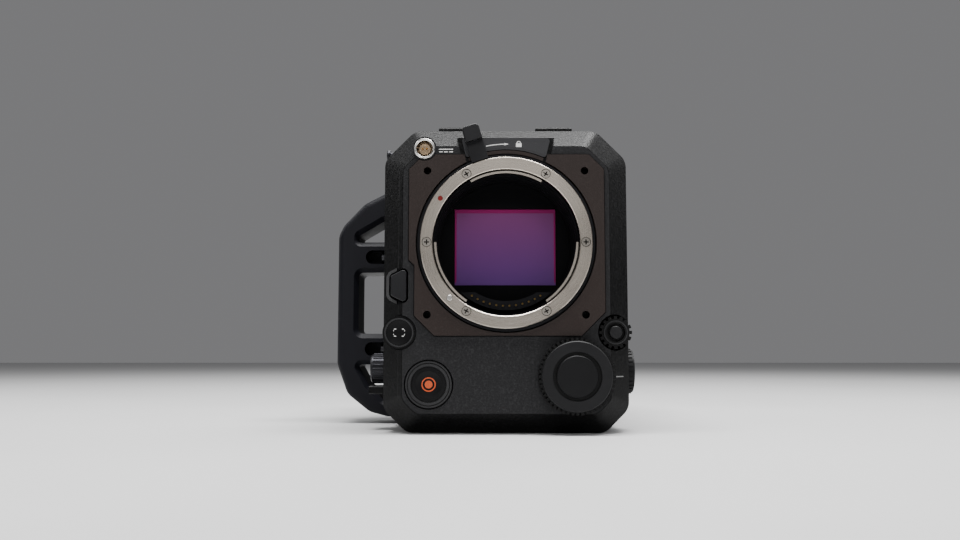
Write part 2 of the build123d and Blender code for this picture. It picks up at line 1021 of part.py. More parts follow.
# Red index dot
with BuildPart() as index_dot:
    with BuildSketch(axis_plane(flange_y + index_thickness + slide_gap)):
        with Locations(polar(index_circle, index_angle)):
            Circle(index_radius)
    extrude(amount=index_thickness)
save(index_dot, "index_dot")

# Lock ring, turning on the rim of the mount ring
lock_ring_front_y = flange_y + lock_ring_front
with BuildPart() as lock_ring:
    with BuildSketch(axis_plane(front_y + groove_depth - fit_gap)):
        Circle(ring_radius + lock_ring_width)
        Circle(ring_radius + slide_gap, mode=Mode.SUBTRACT)
    extrude(amount=front_y + groove_depth - fit_gap - lock_ring_front_y)
save(lock_ring, "lock_ring")

# Lock lever, standing on the lock ring
lever_x = Vector(*polar(1, lever_angle))
lever_root = ring_radius + fit_gap


def lever_plane(y):
    """Plane on the lens axis whose x runs out along the lever."""
    return Plane(origin=(0, y, axis_height), x_dir=(lever_x.X, 0, lever_x.Y), z_dir=(0, -1, 0))


with BuildPart() as lock_lever:
    with BuildSketch(lever_plane(lock_ring_front_y)):
        with Locations(((lever_root + lever_step) / 2, 0)):
            Rectangle(lever_step - lever_root, lever_width)
        Circle(lever_root, mode=Mode.SUBTRACT)
    extrude(amount=lever_shank_thickness)
    with BuildSketch(lever_plane(lock_ring_front_y)) as lever_head:
        with Locations(((lever_step + lever_tip) / 2, 0)):
            Rectangle(lever_tip - lever_step, lever_width)
    extrude(amount=lever_head_thickness)
    fillet(
        lock_lever.edges().filter_by(Axis.Y).sort_by(lambda edge: edge.center().Z)[-2:],
        radius=lever_round,
    )
    fillet(lock_lever.faces().sort_by(Axis.Y)[0].edges(), radius=lever_edge)
save(lock_lever, "lock_lever")

# Lens release: button, link and lock pin move as one
with BuildPart() as release_button:
    with BuildSketch(front_plane(-release_wall_back + fit_gap)):
        add(release_face())
    extrude(amount=release_front - release_wall_back + fit_gap)
    fillet(release_button.faces().sort_by(Axis.Y)[0].edges(), radius=lever_edge)
    with BuildSketch(front_plane(-release_wall_back + fit_gap + release_flange_thickness)):
        add(release_face(release_flange))
    extrude(amount=release_flange_thickness)
save(release_button, "release_button")

link_front_y = -release_wall_back + fit_gap + release_flange_thickness
button_mid_x = release_right - release_width / 2
pin_z = axis_height + pin_dz
link_run = Vector(pin_x - button_mid_x, pin_z - release_z)
with BuildPart() as release_link:
    with BuildSketch(front_plane(link_front_y + link_thickness)):
        with Locations((button_mid_x, release_z)):
            Circle(link_width)
        with Locations((pin_x, pin_z)):
            Circle(link_end_radius)
        with Locations(((pin_x + button_mid_x) / 2, (pin_z + release_z) / 2)):
            Rectangle(
                link_run.length, link_width, rotation=degrees(atan2(link_run.Y, link_run.X))
            )
    extrude(amount=link_thickness)
save(release_link, "release_link")

with BuildPart() as lock_pin:
    with BuildSketch(spot_plane(pin_x, link_front_y, pin_z)):
        Circle(pin_radius)
    extrude(amount=link_front_y - flange_y + pin_proud)
    fillet(lock_pin.faces().sort_by(Axis.Y)[0].edges(), radius=pin_radius / 4)
save(lock_pin, "lock_pin")

# Leaf spring behind the link, seated on the housing round the release room
link_back_y = link_front_y + link_thickness
leaf_left = inner_half - fit_gap
with BuildPart() as release_spring:
    with BuildSketch(front_plane(room_back_y + leaf_thickness)):
        with Locations(((release_room_right + leaf_margin - leaf_left) / 2, release_z)):
            Rectangle(
                release_room_right + leaf_margin + leaf_left,
                (release_room_half + leaf_margin) * 2,
            )
    extrude(amount=leaf_thickness)
    with BuildSketch(front_plane(room_back_y)):
        with Locations((button_mid_x, release_z)):
            Rectangle(leaf_thickness, leaf_tongue_width)
    extrude(amount=room_back_y - link_back_y)
save(release_spring, "release_spring")

# Throat baffle: stepped black tube with a window in its floor
baffle_front_y = front_y + baffle_front_gap
baffle_back_y = -frame_front
baffle_outer = throat_radius - fit_gap
baffle_floor_y = baffle_back_y - baffle_floor
baffle_run = (baffle_floor_y - baffle_front_y) / baffle_steps
with BuildPart() as throat_baffle:
    with BuildSketch(axis_plane(baffle_back_y)):
        Circle(baffle_outer)
        Rectangle(
            filter_width + fit_gap * 2, filter_height + fit_gap * 2, mode=Mode.SUBTRACT
        )
    extrude(amount=baffle_floor)
    for step in range(baffle_steps):
        with BuildSketch(axis_plane(baffle_front_y + (step + 1) * baffle_run)):
            Circle(baffle_outer)
            Circle(baffle_outer - baffle_skin - step * baffle_step, mode=Mode.SUBTRACT)
        extrude(amount=baffle_run)
save(throat_baffle, "throat_baffle")

# Contact block and its row of contacts, low in the throat
block_front_y = flange_y + block_front
with BuildPart() as contact_block:
    with BuildSketch(axis_plane(baffle_floor_y)):
        Circle(block_outer)
        Circle(block_inner, mode=Mode.SUBTRACT)
        with Locations((0, -block_top - block_outer / 2)):
            Rectangle(block_outer * 2, block_outer, mode=Mode.INTERSECT)
    extrude(amount=baffle_floor_y - block_front_y)
    with BuildSketch(axis_plane(block_front_y + contact_depth)):
        with PolarLocations(
            contact_circle,
            contact_count,
            start_angle=-90 - contact_spread,
            angular_range=contact_spread * 2,
            endpoint=True,
        ):
            Circle(contact_radius + slide_gap)
    extrude(amount=contact_depth, mode=Mode.SUBTRACT)
save(contact_block, "contact_block")

with BuildPart() as contact_pins:
    with BuildSketch(axis_plane(block_front_y + contact_depth)):
        with PolarLocations(
            contact_circle,
            contact_count,
            start_angle=-90 - contact_spread,
            angular_range=contact_spread * 2,
            endpoint=True,
        ):
            Circle(contact_radius)
    extrude(amount=contact_depth + contact_proud)
save(contact_pins, "contact_pins")

# Coated filter glass in its frame
with BuildPart() as filter_glass:
    with BuildSketch(axis_plane(-filter_back)):
        Rectangle(filter_width, filter_height)
    extrude(amount=filter_thickness)
save(filter_glass, "filter_glass")

with BuildPart() as filter_frame:
    with BuildSketch(axis_plane(-chip_cover)):
        Rectangle(frame_width, frame_height)
        Rectangle(image_window_width, image_window_height, mode=Mode.SUBTRACT)
    extrude(amount=frame_front - chip_cover)
    with BuildSketch(axis_plane(-filter_back)):
        Rectangle(filter_width + fit_gap * 2, filter_height + fit_gap * 2)
    extrude(amount=frame_front - filter_back, mode=Mode.SUBTRACT)
save(filter_frame, "filter_frame")

# Sensor: ceramic package with its cover glass, soldered to its board
with BuildPart() as sensor:
    with BuildSketch(axis_plane(chip_thickness)):
        Rectangle(chip_width, chip_height)
    extrude(amount=chip_thickness + chip_cover)
    with BuildSketch(axis_plane(chip_thickness + board_thickness)):
        Rectangle(sensor_board_width, sensor_board_height)
    extrude(amount=board_thickness)
save(sensor, "sensor")

# Sensor carrier with four posts that reach the front wall
carrier_front_y = chip_thickness + board_thickness
carrier_back_y = carrier_front_y + carrier_thickness
with BuildPart() as sensor_carrier:
    with BuildSketch(axis_plane(carrier_back_y)):
        RectangleRounded(carrier_width, carrier_height, post_radius)
    extrude(amount=carrier_thickness)
    with BuildSketch(axis_plane(carrier_front_y)):
        with GridLocations(post_x * 2, post_z * 2, 2, 2):
            Circle(post_radius)
    extrude(amount=carrier_front_y - wall_back_y)
save(sensor_carrier, "sensor_carrier")

# Heat sink on the carrier's back
fin_pitch = (sink_width - fin_thickness) / (fin_count - 1)
sink_base_y = carrier_back_y + sink_base
with BuildPart() as heat_sink:
    with BuildSketch(axis_plane(sink_base_y)):
        Rectangle(sink_width, sink_height)
    extrude(amount=sink_base)
    with BuildSketch(axis_plane(sink_base_y + fin_depth)):
        with GridLocations(fin_pitch, 0, fin_count, 1):
            Rectangle(fin_thickness, sink_height)
    extrude(amount=fin_depth)
save(heat_sink, "heat_sink")

# Record button and its double ring
with BuildPart() as record_bezel:
    with BuildSketch(spot_plane(record_x, pocket_floor_y, record_z)):
        Circle(record_ring)
        Circle(record_bore, mode=Mode.SUBTRACT)
    extrude(amount=record_recess_depth + record_ring_proud)
    with BuildSketch(spot_plane(record_x, fascia_front_y, record_z)):
        Circle(record_line_radius + record_line_width / 2)
        Circle(record_line_radius - record_line_width / 2, mode=Mode.SUBTRACT)
    extrude(amount=record_ring_proud, mode=Mode.SUBTRACT)
save(record_bezel, "record_bezel")

record_back_y = pocket_floor_y - record_travel - stem_stop
record_face_y = record_back_y - record_button_thickness
control_front_y = room_back_y
switch_front_y = wall_back_y + stem_stop + collar_thickness + record_travel + stem_stop
with BuildPart() as record_button:
    with BuildSketch(spot_plane(record_x, record_back_y, record_z)):
        Circle(record_bore - slide_gap)
    extrude(amount=record_button_thickness)
    with BuildSketch(spot_plane(record_x, wall_back_y + stem_stop, record_z)):
        Circle(stem_radius)
    extrude(amount=wall_back_y + stem_stop - record_back_y)
    with BuildSketch(
        spot_plane(record_x, wall_back_y + stem_stop + collar_thickness, record_z)
    ):
        Circle(collar_radius)
    extrude(amount=collar_thickness)
    with Locations((record_x, record_face_y - record_dish + record_line_width * 2, record_z)):
        Sphere(record_dish, mode=Mode.SUBTRACT)
save(record_button, "record_button")

# Smaller round button in its own cup
with BuildPart() as grab_bezel:
    with BuildSketch(spot_plane(grab_x, grab_floor_y, grab_z)):
        Circle(grab_recess - fit_gap)
    extrude(amount=grab_depth - grab_lip)
    with BuildSketch(spot_plane(grab_x, fascia_front_y + grab_lip, grab_z)):
        Circle(grab_ring)
    extrude(amount=grab_lip * 2)
    with BuildSketch(spot_plane(grab_x, grab_floor_y - grab_floor, grab_z)):
        Circle(grab_bore)
    extrude(amount=grab_depth, mode=Mode.SUBTRACT)
    with BuildSketch(spot_plane(grab_x, grab_floor_y, grab_z)):
        Circle(grab_stem + slide_gap)
    extrude(amount=grab_floor, mode=Mode.SUBTRACT)
save(grab_bezel, "grab_bezel")

with BuildPart() as grab_button:
    with BuildSketch(spot_plane(grab_x, fascia_front_y + grab_button_thickness, grab_z)):
        Circle(grab_bore - slide_gap)
    extrude(amount=grab_button_thickness)
    with BuildSketch(
        spot_plane(grab_x, control_front_y - grab_travel - stem_stop, grab_z)
    ):
        Circle(grab_stem)
    extrude(
        amount=control_front_y
        - grab_travel
        - stem_stop
        - fascia_front_y
        - grab_button_thickness / 2
    )
    with Locations((grab_x, fascia_front_y - record_dish + record_line_width * 2, grab_z)):
        Sphere(record_dish, mode=Mode.SUBTRACT)
save(grab_button, "grab_button")

# Main dial with knurled rim, and the button in its centre
dial_back_y = fascia_front_y - dial_lift
dial_front_y = dial_back_y - dial_depth
dial_pocket = dial_button_thickness - dial_button_proud + dial_button_travel + fit_gap
with BuildPart() as main_dial:
    with BuildSketch(spot_plane(dial_x, dial_back_y, dial_z)):
        add(toothed_disc(dial_core, knurl_count, knurl_width, knurl_height))
    extrude(amount=dial_depth - knurl_setback)
    with BuildSketch(spot_plane(dial_x, dial_back_y, dial_z)):
        Circle(dial_radius)
    extrude(amount=dial_depth)
    chamfer(main_dial.faces().sort_by(Axis.Y)[0].edges(), length=dial_lift)
    with BuildSketch(spot_plane(dial_x, dial_front_y + dial_groove_depth, dial_z)):
        Circle(dial_groove)
    extrude(amount=dial_groove_depth, mode=Mode.SUBTRACT)
    with BuildSketch(spot_plane(dial_x, dial_front_y + dial_pocket, dial_z)):
        Circle(dial_button_radius + slide_gap)
    extrude(amount=dial_pocket, mode=Mode.SUBTRACT)
    with BuildSketch(spot_plane(dial_x, switch_front_y - stem_stop, dial_z)):
        Circle(dial_stem)
    extrude(amount=switch_front_y - stem_stop - dial_back_y)
    with BuildSketch(
        spot_plane(
            dial_x, dial_front_y + dial_pocket + dial_button_stem_length + fit_gap, dial_z
        )
    ):
        Circle(dial_button_stem + slide_gap)
    extrude(amount=dial_button_stem_length + fit_gap, mode=Mode.SUBTRACT)
save(main_dial, "main_dial")

dial_button_back_y = dial_front_y - dial_button_proud + dial_button_thickness
with BuildPart() as main_dial_button:
    with BuildSketch(spot_plane(dial_x, dial_button_back_y, dial_z)):
        Circle(dial_button_radius)
    extrude(amount=dial_button_thickness)
    chamfer(main_dial_button.faces().sort_by(Axis.Y)[0].edges(), length=dial_lift)
    with BuildSketch(
        spot_plane(dial_x, dial_button_back_y + dial_button_stem_length, dial_z)
    ):
        Circle(dial_button_stem)
    extrude(amount=dial_button_stem_length)
save(main_dial_button, "main_dial_button")

# Small toothed dial in its recess on the right bevel, and the button in its centre
small_back_y = bevel_back_y - fit_gap
small_front_y = small_back_y - small_depth
with BuildPart() as small_dial:
    with BuildSketch(spot_plane(small_x, small_back_y, small_z)):
        add(
            toothed_disc(small_core, small_tooth_count, small_tooth_width, small_tooth_height)
        )
    extrude(amount=small_depth)
    with BuildSketch(spot_plane(small_x, small_front_y, small_z)):
        Circle(small_ring)
    extrude(amount=small_ring_proud)
    with BuildSketch(
        spot_plane(small_x, small_front_y - small_ring_proud + small_groove_depth, small_z)
    ):
        Circle(small_groove)
    extrude(amount=small_groove_depth, mode=Mode.SUBTRACT)
    with BuildSketch(
        spot_plane(
            small_x,
            small_front_y
            - small_ring_proud
            + small_button_thickness
            + small_button_travel
            + fit_gap,
            small_z,
        )
    ):
        Circle(small_button_radius + slide_gap)
    extrude(
        amount=small_button_thickness + small_button_travel + fit_gap, mode=Mode.SUBTRACT
    )
    with BuildSketch(spot_plane(small_x, control_front_y - stem_stop, small_z)):
        Circle(small_stem)
    extrude(amount=control_front_y - stem_stop - small_back_y)
save(small_dial, "small_dial")

with BuildPart() as small_dial_button:
    with BuildSketch(
        spot_plane(
            small_x,
            small_front_y - small_ring_proud - small_button_proud + small_button_thickness,
            small_z,
        )
    ):
        Circle(small_button_radius)
    extrude(amount=small_button_thickness)
    chamfer(
        small_dial_button.faces().sort_by(Axis.Y)[0].edges(), length=small_button_proud
    )
save(small_dial_button, "small_dial_button")

# Flat grooved knob on the right side
knob_back_x = body_half + fit_gap
with BuildPart() as side_knob:
    with BuildSketch(side_plane(knob_back_x, knob_y, knob_z)):
        Circle(knob_radius)
        with PolarLocations(knob_radius, knob_grooves):
            Rectangle(knob_groove_width, knob_groove_width, mode=Mode.SUBTRACT)
    extrude(amount=knob_proud - fit_gap)
    with BuildSketch(side_plane(body_half + knob_proud - knob_edge, knob_y, knob_z)):
        Circle(knob_radius * 2)
        Circle(knob_radius - knob_groove_width, mode=Mode.SUBTRACT)
    extrude(amount=knob_edge, mode=Mode.SUBTRACT)
    with BuildSketch(side_plane(body_half - knob_stem_length, knob_y, knob_z)):
        Circle(knob_stem)
    extrude(amount=knob_stem_length + fit_gap)
save(side_knob, "side_knob")

# Lens power socket: metal shell, insulator and two pins
with BuildPart() as power_socket_shell:
    with BuildSketch(spot_plane(socket_x, socket_floor_y, socket_z)):
        Circle(socket_radius)
        Circle(socket_bore, mode=Mode.SUBTRACT)
    extrude(amount=socket_front + socket_floor_y)
    chamfer(
        power_socket_shell.faces().sort_by(Axis.Y)[0].edges(), length=socket_pin_radius
    )
save(power_socket_shell, "power_socket_shell")

with BuildPart() as power_socket_insert:
    with BuildSketch(spot_plane(socket_x, socket_floor_y, socket_z)):
        Circle(socket_bore)
    extrude(amount=socket_insert_front - socket_well + socket_floor_y)
    with BuildSketch(spot_plane(socket_x, -socket_insert_front + socket_well, socket_z)):
        Circle(socket_insert_radius)
    extrude(amount=socket_well)
    with BuildSketch(spot_plane(socket_x, -socket_insert_front + socket_pin_length, socket_z)):
        with GridLocations(socket_pin_spacing, 0, 2, 1):
            Circle(socket_pin_radius + slide_gap)
    extrude(amount=socket_pin_length, mode=Mode.SUBTRACT)
save(power_socket_insert, "power_socket_insert")

with BuildPart() as power_socket_pins:
    with BuildSketch(spot_plane(socket_x, -socket_insert_front + socket_pin_length, socket_z)):
        with GridLocations(socket_pin_spacing, 0, 2, 1):
            Circle(socket_pin_radius)
    extrude(amount=socket_pin_length + socket_pin_proud)
save(power_socket_pins, "power_socket_pins")

# Tape hook on the cut corner, level with the image plane
hook_surface_x = -body_half + hook_z - (body_height - top_cut)
hook_tip_x = hook_surface_x - hook_reach
with BuildPart() as tape_hook:
    with BuildSketch(side_plane(hook_tip_x, 0, hook_z)):
        Circle(hook_stem)
    extrude(amount=hook_reach + hook_root)
    with BuildSketch(side_plane(hook_tip_x, 0, hook_z)):
        Circle(hook_head)
    extrude(amount=hook_head_thickness)
    fillet(tape_hook.faces().sort_by(Axis.X)[0].edges(), radius=hook_head_thickness / 4)
save(tape_hook, "tape_hook")

# Round cable socket on the left side
cable_outer_x = -body_half - cable_reach
with BuildPart() as cable_socket:
    with BuildSketch(side_plane(-body_half, cable_y, cable_z)):
        Circle(cable_radius)
    extrude(amount=-cable_reach)
    chamfer(cable_socket.faces().sort_by(Axis.X)[0].edges(), length=cable_edge)
    with BuildSketch(side_plane(-body_half, cable_y, cable_z)):
        with PolarLocations(cable_radius, cable_ridge_count):
            Circle(cable_ridge_radius)
    extrude(amount=-(cable_reach - cable_edge * 2))
    with BuildSketch(side_plane(-body_half, cable_y, cable_z)):
        Circle(cable_thread)
    extrude(amount=cable_root)
    with BuildSketch(side_plane(cable_outer_x, cable_y, cable_z)):
        Circle(cable_bore)
        with PolarLocations(cable_pin_circle, cable_pin_count):
            Circle(cable_pin_radius, mode=Mode.SUBTRACT)
    extrude(amount=cable_reach - cable_insert_depth, mode=Mode.SUBTRACT)
save(cable_socket, "cable_socket")

# Main housing behind the front housing
panel_mid_z = (panel_low + panel_high) / 2
panel_tall = panel_high - panel_low
rear_screw_places = [
    (x, z)
    for x in (-rear_screw_x, rear_screw_x)
    for z in (rear_screw_low, rear_screw_high)
]


def panel_face(front_edge, shrink, corner):
    """Side panel's outline about its own centre, drawn in by a margin."""
    with BuildSketch() as face:
        RectangleRounded(
            panel_rear - front_edge - shrink * 2, panel_tall - shrink * 2, corner
        )
    return face.sketch


def panel_screw_grid(front_edge):
    """Places of a side panel's four screws about the panel's centre."""
    return GridLocations(
        panel_rear - front_edge - panel_screw_inset * 2,
        panel_tall - panel_screw_inset * 2,
        2,
        2,
    )


right_mid_y = (right_panel_front + panel_rear) / 2
left_mid_y = (left_panel_front + panel_rear) / 2

with BuildPart() as main_housing:
    with BuildSketch(front_plane(rear_plate_y)):
        add(casing_face)
    extrude(amount=rear_plate_y - split_y)
    chamfer(main_housing.faces().sort_by(Axis.Y)[0].edges(), length=seam_cut)
    chamfer(main_housing.faces().sort_by(Axis.Y)[-1].edges(), length=seam_cut)
    with BuildSketch(front_plane(rear_plate_y)):
        add(inner_outline())
    extrude(amount=rear_plate_y - split_y - ledge_depth, mode=Mode.SUBTRACT)
    with BuildSketch(front_plane(split_y + ledge_depth)):
        add(inner_outline(ledge_width))
    extrude(amount=ledge_depth, mode=Mode.SUBTRACT)
    with BuildSketch(front_plane(rear_plate_y)):
        with Locations(*rear_screw_places):
            Circle(rear_boss)
        add(casing_face, mode=Mode.INTERSECT)
    extrude(amount=rear_boss_length)
    for front_edge, mid_y, side in (
        (right_panel_front, right_mid_y, 1),
        (left_panel_front, left_mid_y, -1),
    ):
        with BuildSketch(side_plane(side * body_half, mid_y, panel_mid_z)):
            add(panel_face(front_edge, 0, panel_corner))
        extrude(amount=-side * panel_thickness, mode=Mode.SUBTRACT)
        with BuildSketch(side_plane(side * body_half, mid_y, panel_mid_z)):
            add(panel_face(front_edge, panel_ledge, panel_corner / 2))
        extrude(amount=-side * (side_wall + cut_over), mode=Mode.SUBTRACT)
        with BuildSketch(side_plane(side * body_half, mid_y, panel_mid_z)):
            with panel_screw_grid(front_edge):
                Circle(case_screw_shank + slide_gap)
        extrude(amount=-side * (case_screw_length + cut_over), mode=Mode.SUBTRACT)
    with BuildSketch(Plane.XY.offset(body_height - top_thickness)):
        with Locations((0, (split_y - cut_over + plate_rear_y + fit_gap) / 2)):
            Rectangle(
                (top_half + fit_gap) * 2, plate_rear_y + fit_gap + cut_over - split_y
            )
    extrude(amount=top_thickness + cut_over, mode=Mode.SUBTRACT)
    with BuildSketch(Plane.XY):
        with Locations((0, (split_y - cut_over + plate_rear_y + fit_gap) / 2)):
            Rectangle(
                (base_half + fit_gap) * 2, plate_rear_y + fit_gap + cut_over - split_y
            )
    extrude(amount=base_thickness, mode=Mode.SUBTRACT)
    with BuildSketch(front_plane(rear_plate_y)):
        with Locations(*rear_screw_places):
            Circle(case_screw_shank + slide_gap)
    extrude(amount=case_screw_length, mode=Mode.SUBTRACT)
    cross_places = [(handle_screw_setback, cross_high_z), (handle_screw_setback, cross_low_z)]
    cross_places += [
        (handle_depth - handle_screw_setback, cross_high_z),
        (handle_depth - handle_screw_setback, cross_low_z),
    ]
    with BuildSketch(side_plane(-body_half, handle_front_y)):
        with Locations(*cross_places):
            Circle(handle_screw_shank + slide_gap)
    extrude(amount=handle_screw_length, mode=Mode.SUBTRACT)
save(main_housing, "main_housing")

# Rear plate
with BuildPart() as rear_plate:
    with BuildSketch(front_plane(rear_y)):
        add(casing_face)
    extrude(amount=rear_wall)
    chamfer(rear_plate.faces().sort_by(Axis.Y)[-1].edges(), length=rear_edge)
    with BuildSketch(front_plane(rear_y)):
        with Locations(*rear_screw_places):
            Circle(case_screw_shank + slide_gap)
        with Locations((video_x, video_first_z)):
            with GridLocations(0, video_pitch, 1, video_count):
                Circle(video_barrel)
    extrude(amount=rear_wall, mode=Mode.SUBTRACT)
    with BuildSketch(front_plane(rear_y)):
        with Locations(*rear_screw_places):
            Circle(case_screw_head + fit_gap)
    extrude(amount=case_screw_head_height + fit_gap, mode=Mode.SUBTRACT)
save(rear_plate, "rear_plate")

# Top plate with two pads and a row of accessory threads
top_length = plate_rear_y - top_front_y
top_mid_y = (plate_rear_y + top_front_y) / 2
with BuildPart() as top_plate:
    with BuildSketch(Plane.XY.offset(body_height - top_thickness)):
        with Locations((0, top_mid_y)):
            Rectangle(top_half * 2, top_length)
    extrude(amount=top_thickness)
    for pad_start, pad_end in (
        (pad_left_start, pad_left_end),
        (pad_right_start, pad_right_end),
    ):
        with BuildSketch(Plane.XY.offset(body_height)):
            with Locations(((pad_start + pad_end) / 2, top_mid_y)):
                Rectangle(pad_end - pad_start, top_length - pad_margin * 2)
        extrude(amount=pad_height)
    chamfer(
        top_plate.faces().filter_by(Axis.Z).sort_by(Axis.Z)[-1].edges()
        + top_plate.faces().filter_by(Axis.Z).sort_by(Axis.Z)[-2].edges(),
        length=pad_edge,
    )
    with BuildSketch(Plane.XY.offset(body_height - top_thickness)):
        with Locations((0, top_hole_first_y + top_hole_pitch)):
            with GridLocations(0, top_hole_pitch, 1, top_hole_count):
                Circle(quarter_thread)
    extrude(amount=top_thickness, mode=Mode.SUBTRACT)
save(top_plate, "top_plate")

# Base plate with the tripod threads
base_mid_y = (plate_rear_y + base_front_y) / 2
with BuildPart() as base_plate:
    with BuildSketch(Plane.XY):
        with Locations((0, base_mid_y)):
            Rectangle(base_half * 2, plate_rear_y - base_front_y)
    extrude(amount=base_thickness)
    with BuildSketch(Plane.XY):
        with Locations((0, base_main_hole_y)):
            Circle(three_eighths_thread)
        with Locations((0, base_main_hole_y)):
            with GridLocations(0, base_hole_pitch * 2, 1, 2):
                Circle(quarter_thread)
    extrude(amount=base_thickness, mode=Mode.SUBTRACT)
save(base_plate, "base_plate")

# Right panel with openings for the display, the buttons, the switch and the media door
door_mid_y = (door_front + door_rear) / 2
door_half_thickness = door_thickness / 2
door_axis_x = panel_inner + panel_thickness / 2
door_low_edge = door_axis_z - door_half_thickness - door_gap
door_high_edge = door_top + door_gap
power_slot_y = power_y + power_travel / 2
button_places = [(button_first_y + i * button_pitch, button_z) for i in range(button_count)]
with BuildPart() as right_panel:
    with BuildSketch(side_plane(panel_inner, right_mid_y, panel_mid_z)):
        add(panel_face(right_panel_front, panel_gap, panel_corner - panel_gap))
    extrude(amount=panel_thickness)
    with BuildSketch(side_plane(panel_inner)):
        with Locations((display_y, display_z)):
            Rectangle(display_width, display_height)
        with Locations(*button_places):
            Circle(button_radius + slide_gap)
        with Locations((power_slot_y, power_z)):
            Rectangle(power_length + power_travel + fit_gap, power_height + slide_gap * 2)
        with Locations((door_mid_y, (door_low_edge + door_high_edge) / 2)):
            Rectangle(door_rear - door_front + door_gap * 2, door_high_edge - door_low_edge)
        with Locations((right_mid_y, panel_mid_z)):
            with panel_screw_grid(right_panel_front):
                Circle(case_screw_shank + slide_gap)
    extrude(amount=panel_thickness, mode=Mode.SUBTRACT)
    with BuildSketch(side_plane(body_half, right_mid_y, panel_mid_z)):
        with panel_screw_grid(right_panel_front):
            Circle(case_screw_head + slide_gap)
    extrude(amount=-case_screw_head_height, mode=Mode.SUBTRACT)
    with BuildSketch(
        Plane(
            origin=(door_axis_x, door_front - door_gap - door_pin_reach, door_axis_z),
            x_dir=(1, 0, 0),
            z_dir=(0, 1, 0),
        )
    ):
        Circle(door_pin_radius + slide_gap)
    extrude(
        amount=door_rear - door_front + (door_gap + door_pin_reach) * 2, mode=Mode.SUBTRACT
    )
save(right_panel, "right_panel")

# Left panel with cooling slots in front of the fan
with BuildPart() as left_panel:
    with BuildSketch(side_plane(-panel_inner, left_mid_y, panel_mid_z)):
        add(panel_face(left_panel_front, panel_gap, panel_corner - panel_gap))
    extrude(amount=-panel_thickness)
    with BuildSketch(side_plane(-panel_inner, fan_y, fan_z)):
        with GridLocations(0, vent_pitch, 1, vent_count):
            SlotOverall(vent_length, vent_height)
    extrude(amount=-panel_thickness, mode=Mode.SUBTRACT)
    with BuildSketch(side_plane(-panel_inner, left_mid_y, panel_mid_z)):
        with panel_screw_grid(left_panel_front):
            Circle(case_screw_shank + slide_gap)
    extrude(amount=-panel_thickness, mode=Mode.SUBTRACT)
    with BuildSketch(side_plane(-body_half, left_mid_y, panel_mid_z)):
        with panel_screw_grid(left_panel_front):
            Circle(case_screw_head + slide_gap)
    extrude(amount=case_screw_head_height, mode=Mode.SUBTRACT)
save(left_panel, "left_panel")

# Display glass in the panel's window
with BuildPart() as display_glass:
    with BuildSketch(side_plane(panel_inner, display_y, display_z)):
        Rectangle(display_width - slide_gap * 2, display_height - slide_gap * 2)
    extrude(amount=panel_thickness - display_glass_sink)
save(display_glass, "display_glass")

# Display board: display module, button switches and posts to the panel
side_board_x = panel_inner - side_board_depth
side_board_mid_z = (side_board_low + side_board_high) / 2
button_back_x = body_half - button_back
with BuildPart() as display_board:
    with BuildSketch(side_plane(side_board_x - board_thickness, side_board_y, side_board_mid_z)):
        Rectangle(side_board_width, side_board_high - side_board_low)
    extrude(amount=board_thickness)
    with BuildSketch(side_plane(side_board_x, side_board_y, side_board_mid_z)):
        with GridLocations(
            side_board_width - side_post * 2,
            side_board_high - side_board_low - side_post * 2,
            2,
            2,
        ):
            Circle(side_post)
    extrude(amount=side_board_depth)
    with BuildSketch(side_plane(side_board_x, display_y, display_z)):
        Rectangle(display_width - side_post * 2, display_height - side_post * 4)
    extrude(amount=side_board_depth - display_module_thickness)
    with BuildSketch(side_plane(panel_inner - display_module_thickness, display_y, display_z)):
        Rectangle(
            display_width + display_overlap, display_height + display_overlap
        )
        with Locations((side_board_y - display_y, side_board_mid_z - display_z)):
            with GridLocations(
                side_board_width - side_post * 2,
                side_board_high - side_board_low - side_post * 2,
                2,
                2,
            ):
                Rectangle(side_post * 3, side_post * 3, mode=Mode.SUBTRACT)
    extrude(amount=display_module_thickness)
    with BuildSketch(side_plane(side_board_x)):
        with Locations(*button_places):
            Circle(switch_radius)
    extrude(amount=button_back_x - button_travel - switch_gap - side_board_x)
save(display_board, "display_board")

# Round buttons on the right panel
for number, (place_y, place_z) in enumerate(button_places, start=1):
    with BuildPart() as menu_button:
        with BuildSketch(side_plane(button_back_x, place_y, place_z)):
            Circle(button_radius)
        extrude(amount=button_back + button_proud)
        chamfer(menu_button.faces().sort_by(Axis.X)[-1].edges(), length=fit_gap)
        with BuildSketch(
            side_plane(panel_inner - fit_gap - button_collar_thickness, place_y, place_z)
        ):
            Circle(button_collar)
        extrude(amount=button_collar_thickness)
    save(menu_button, f"menu_button_{number}")

# Sliding power switch
with BuildPart() as power_switch:
    with BuildSketch(side_plane(panel_inner - fit_gap - power_flange_thickness, power_y, power_z)):
        Rectangle(power_length, power_height)
    extrude(amount=power_flange_thickness + fit_gap + panel_thickness + power_proud)
    chamfer(power_switch.faces().sort_by(Axis.X)[-1].edges(), length=fit_gap)
    with BuildSketch(side_plane(panel_inner - fit_gap - power_flange_thickness, power_y, power_z)):
        Rectangle(power_length + power_flange, power_height + power_flange * 2)
    extrude(amount=power_flange_thickness)
save(power_switch, "power_switch")

# Card cage with two card slots, seated behind the media door
cage_face_x = panel_inner
cage_mid_z = (cage_low + cage_high) / 2
with BuildPart() as card_cage:
    with BuildSketch(side_plane(cage_inner_x, door_mid_y, cage_mid_z)):
        Rectangle(door_rear - door_front - cage_margin, cage_high - cage_low)
    extrude(amount=cage_face_x - cage_inner_x)
    with BuildSketch(side_plane(cage_face_x, door_mid_y, cage_mid_z)):
        with GridLocations(0, card_pitch, 1, card_count):
            Rectangle(card_width, card_height)
    extrude(amount=-card_depth, mode=Mode.SUBTRACT)
save(card_cage, "card_cage")

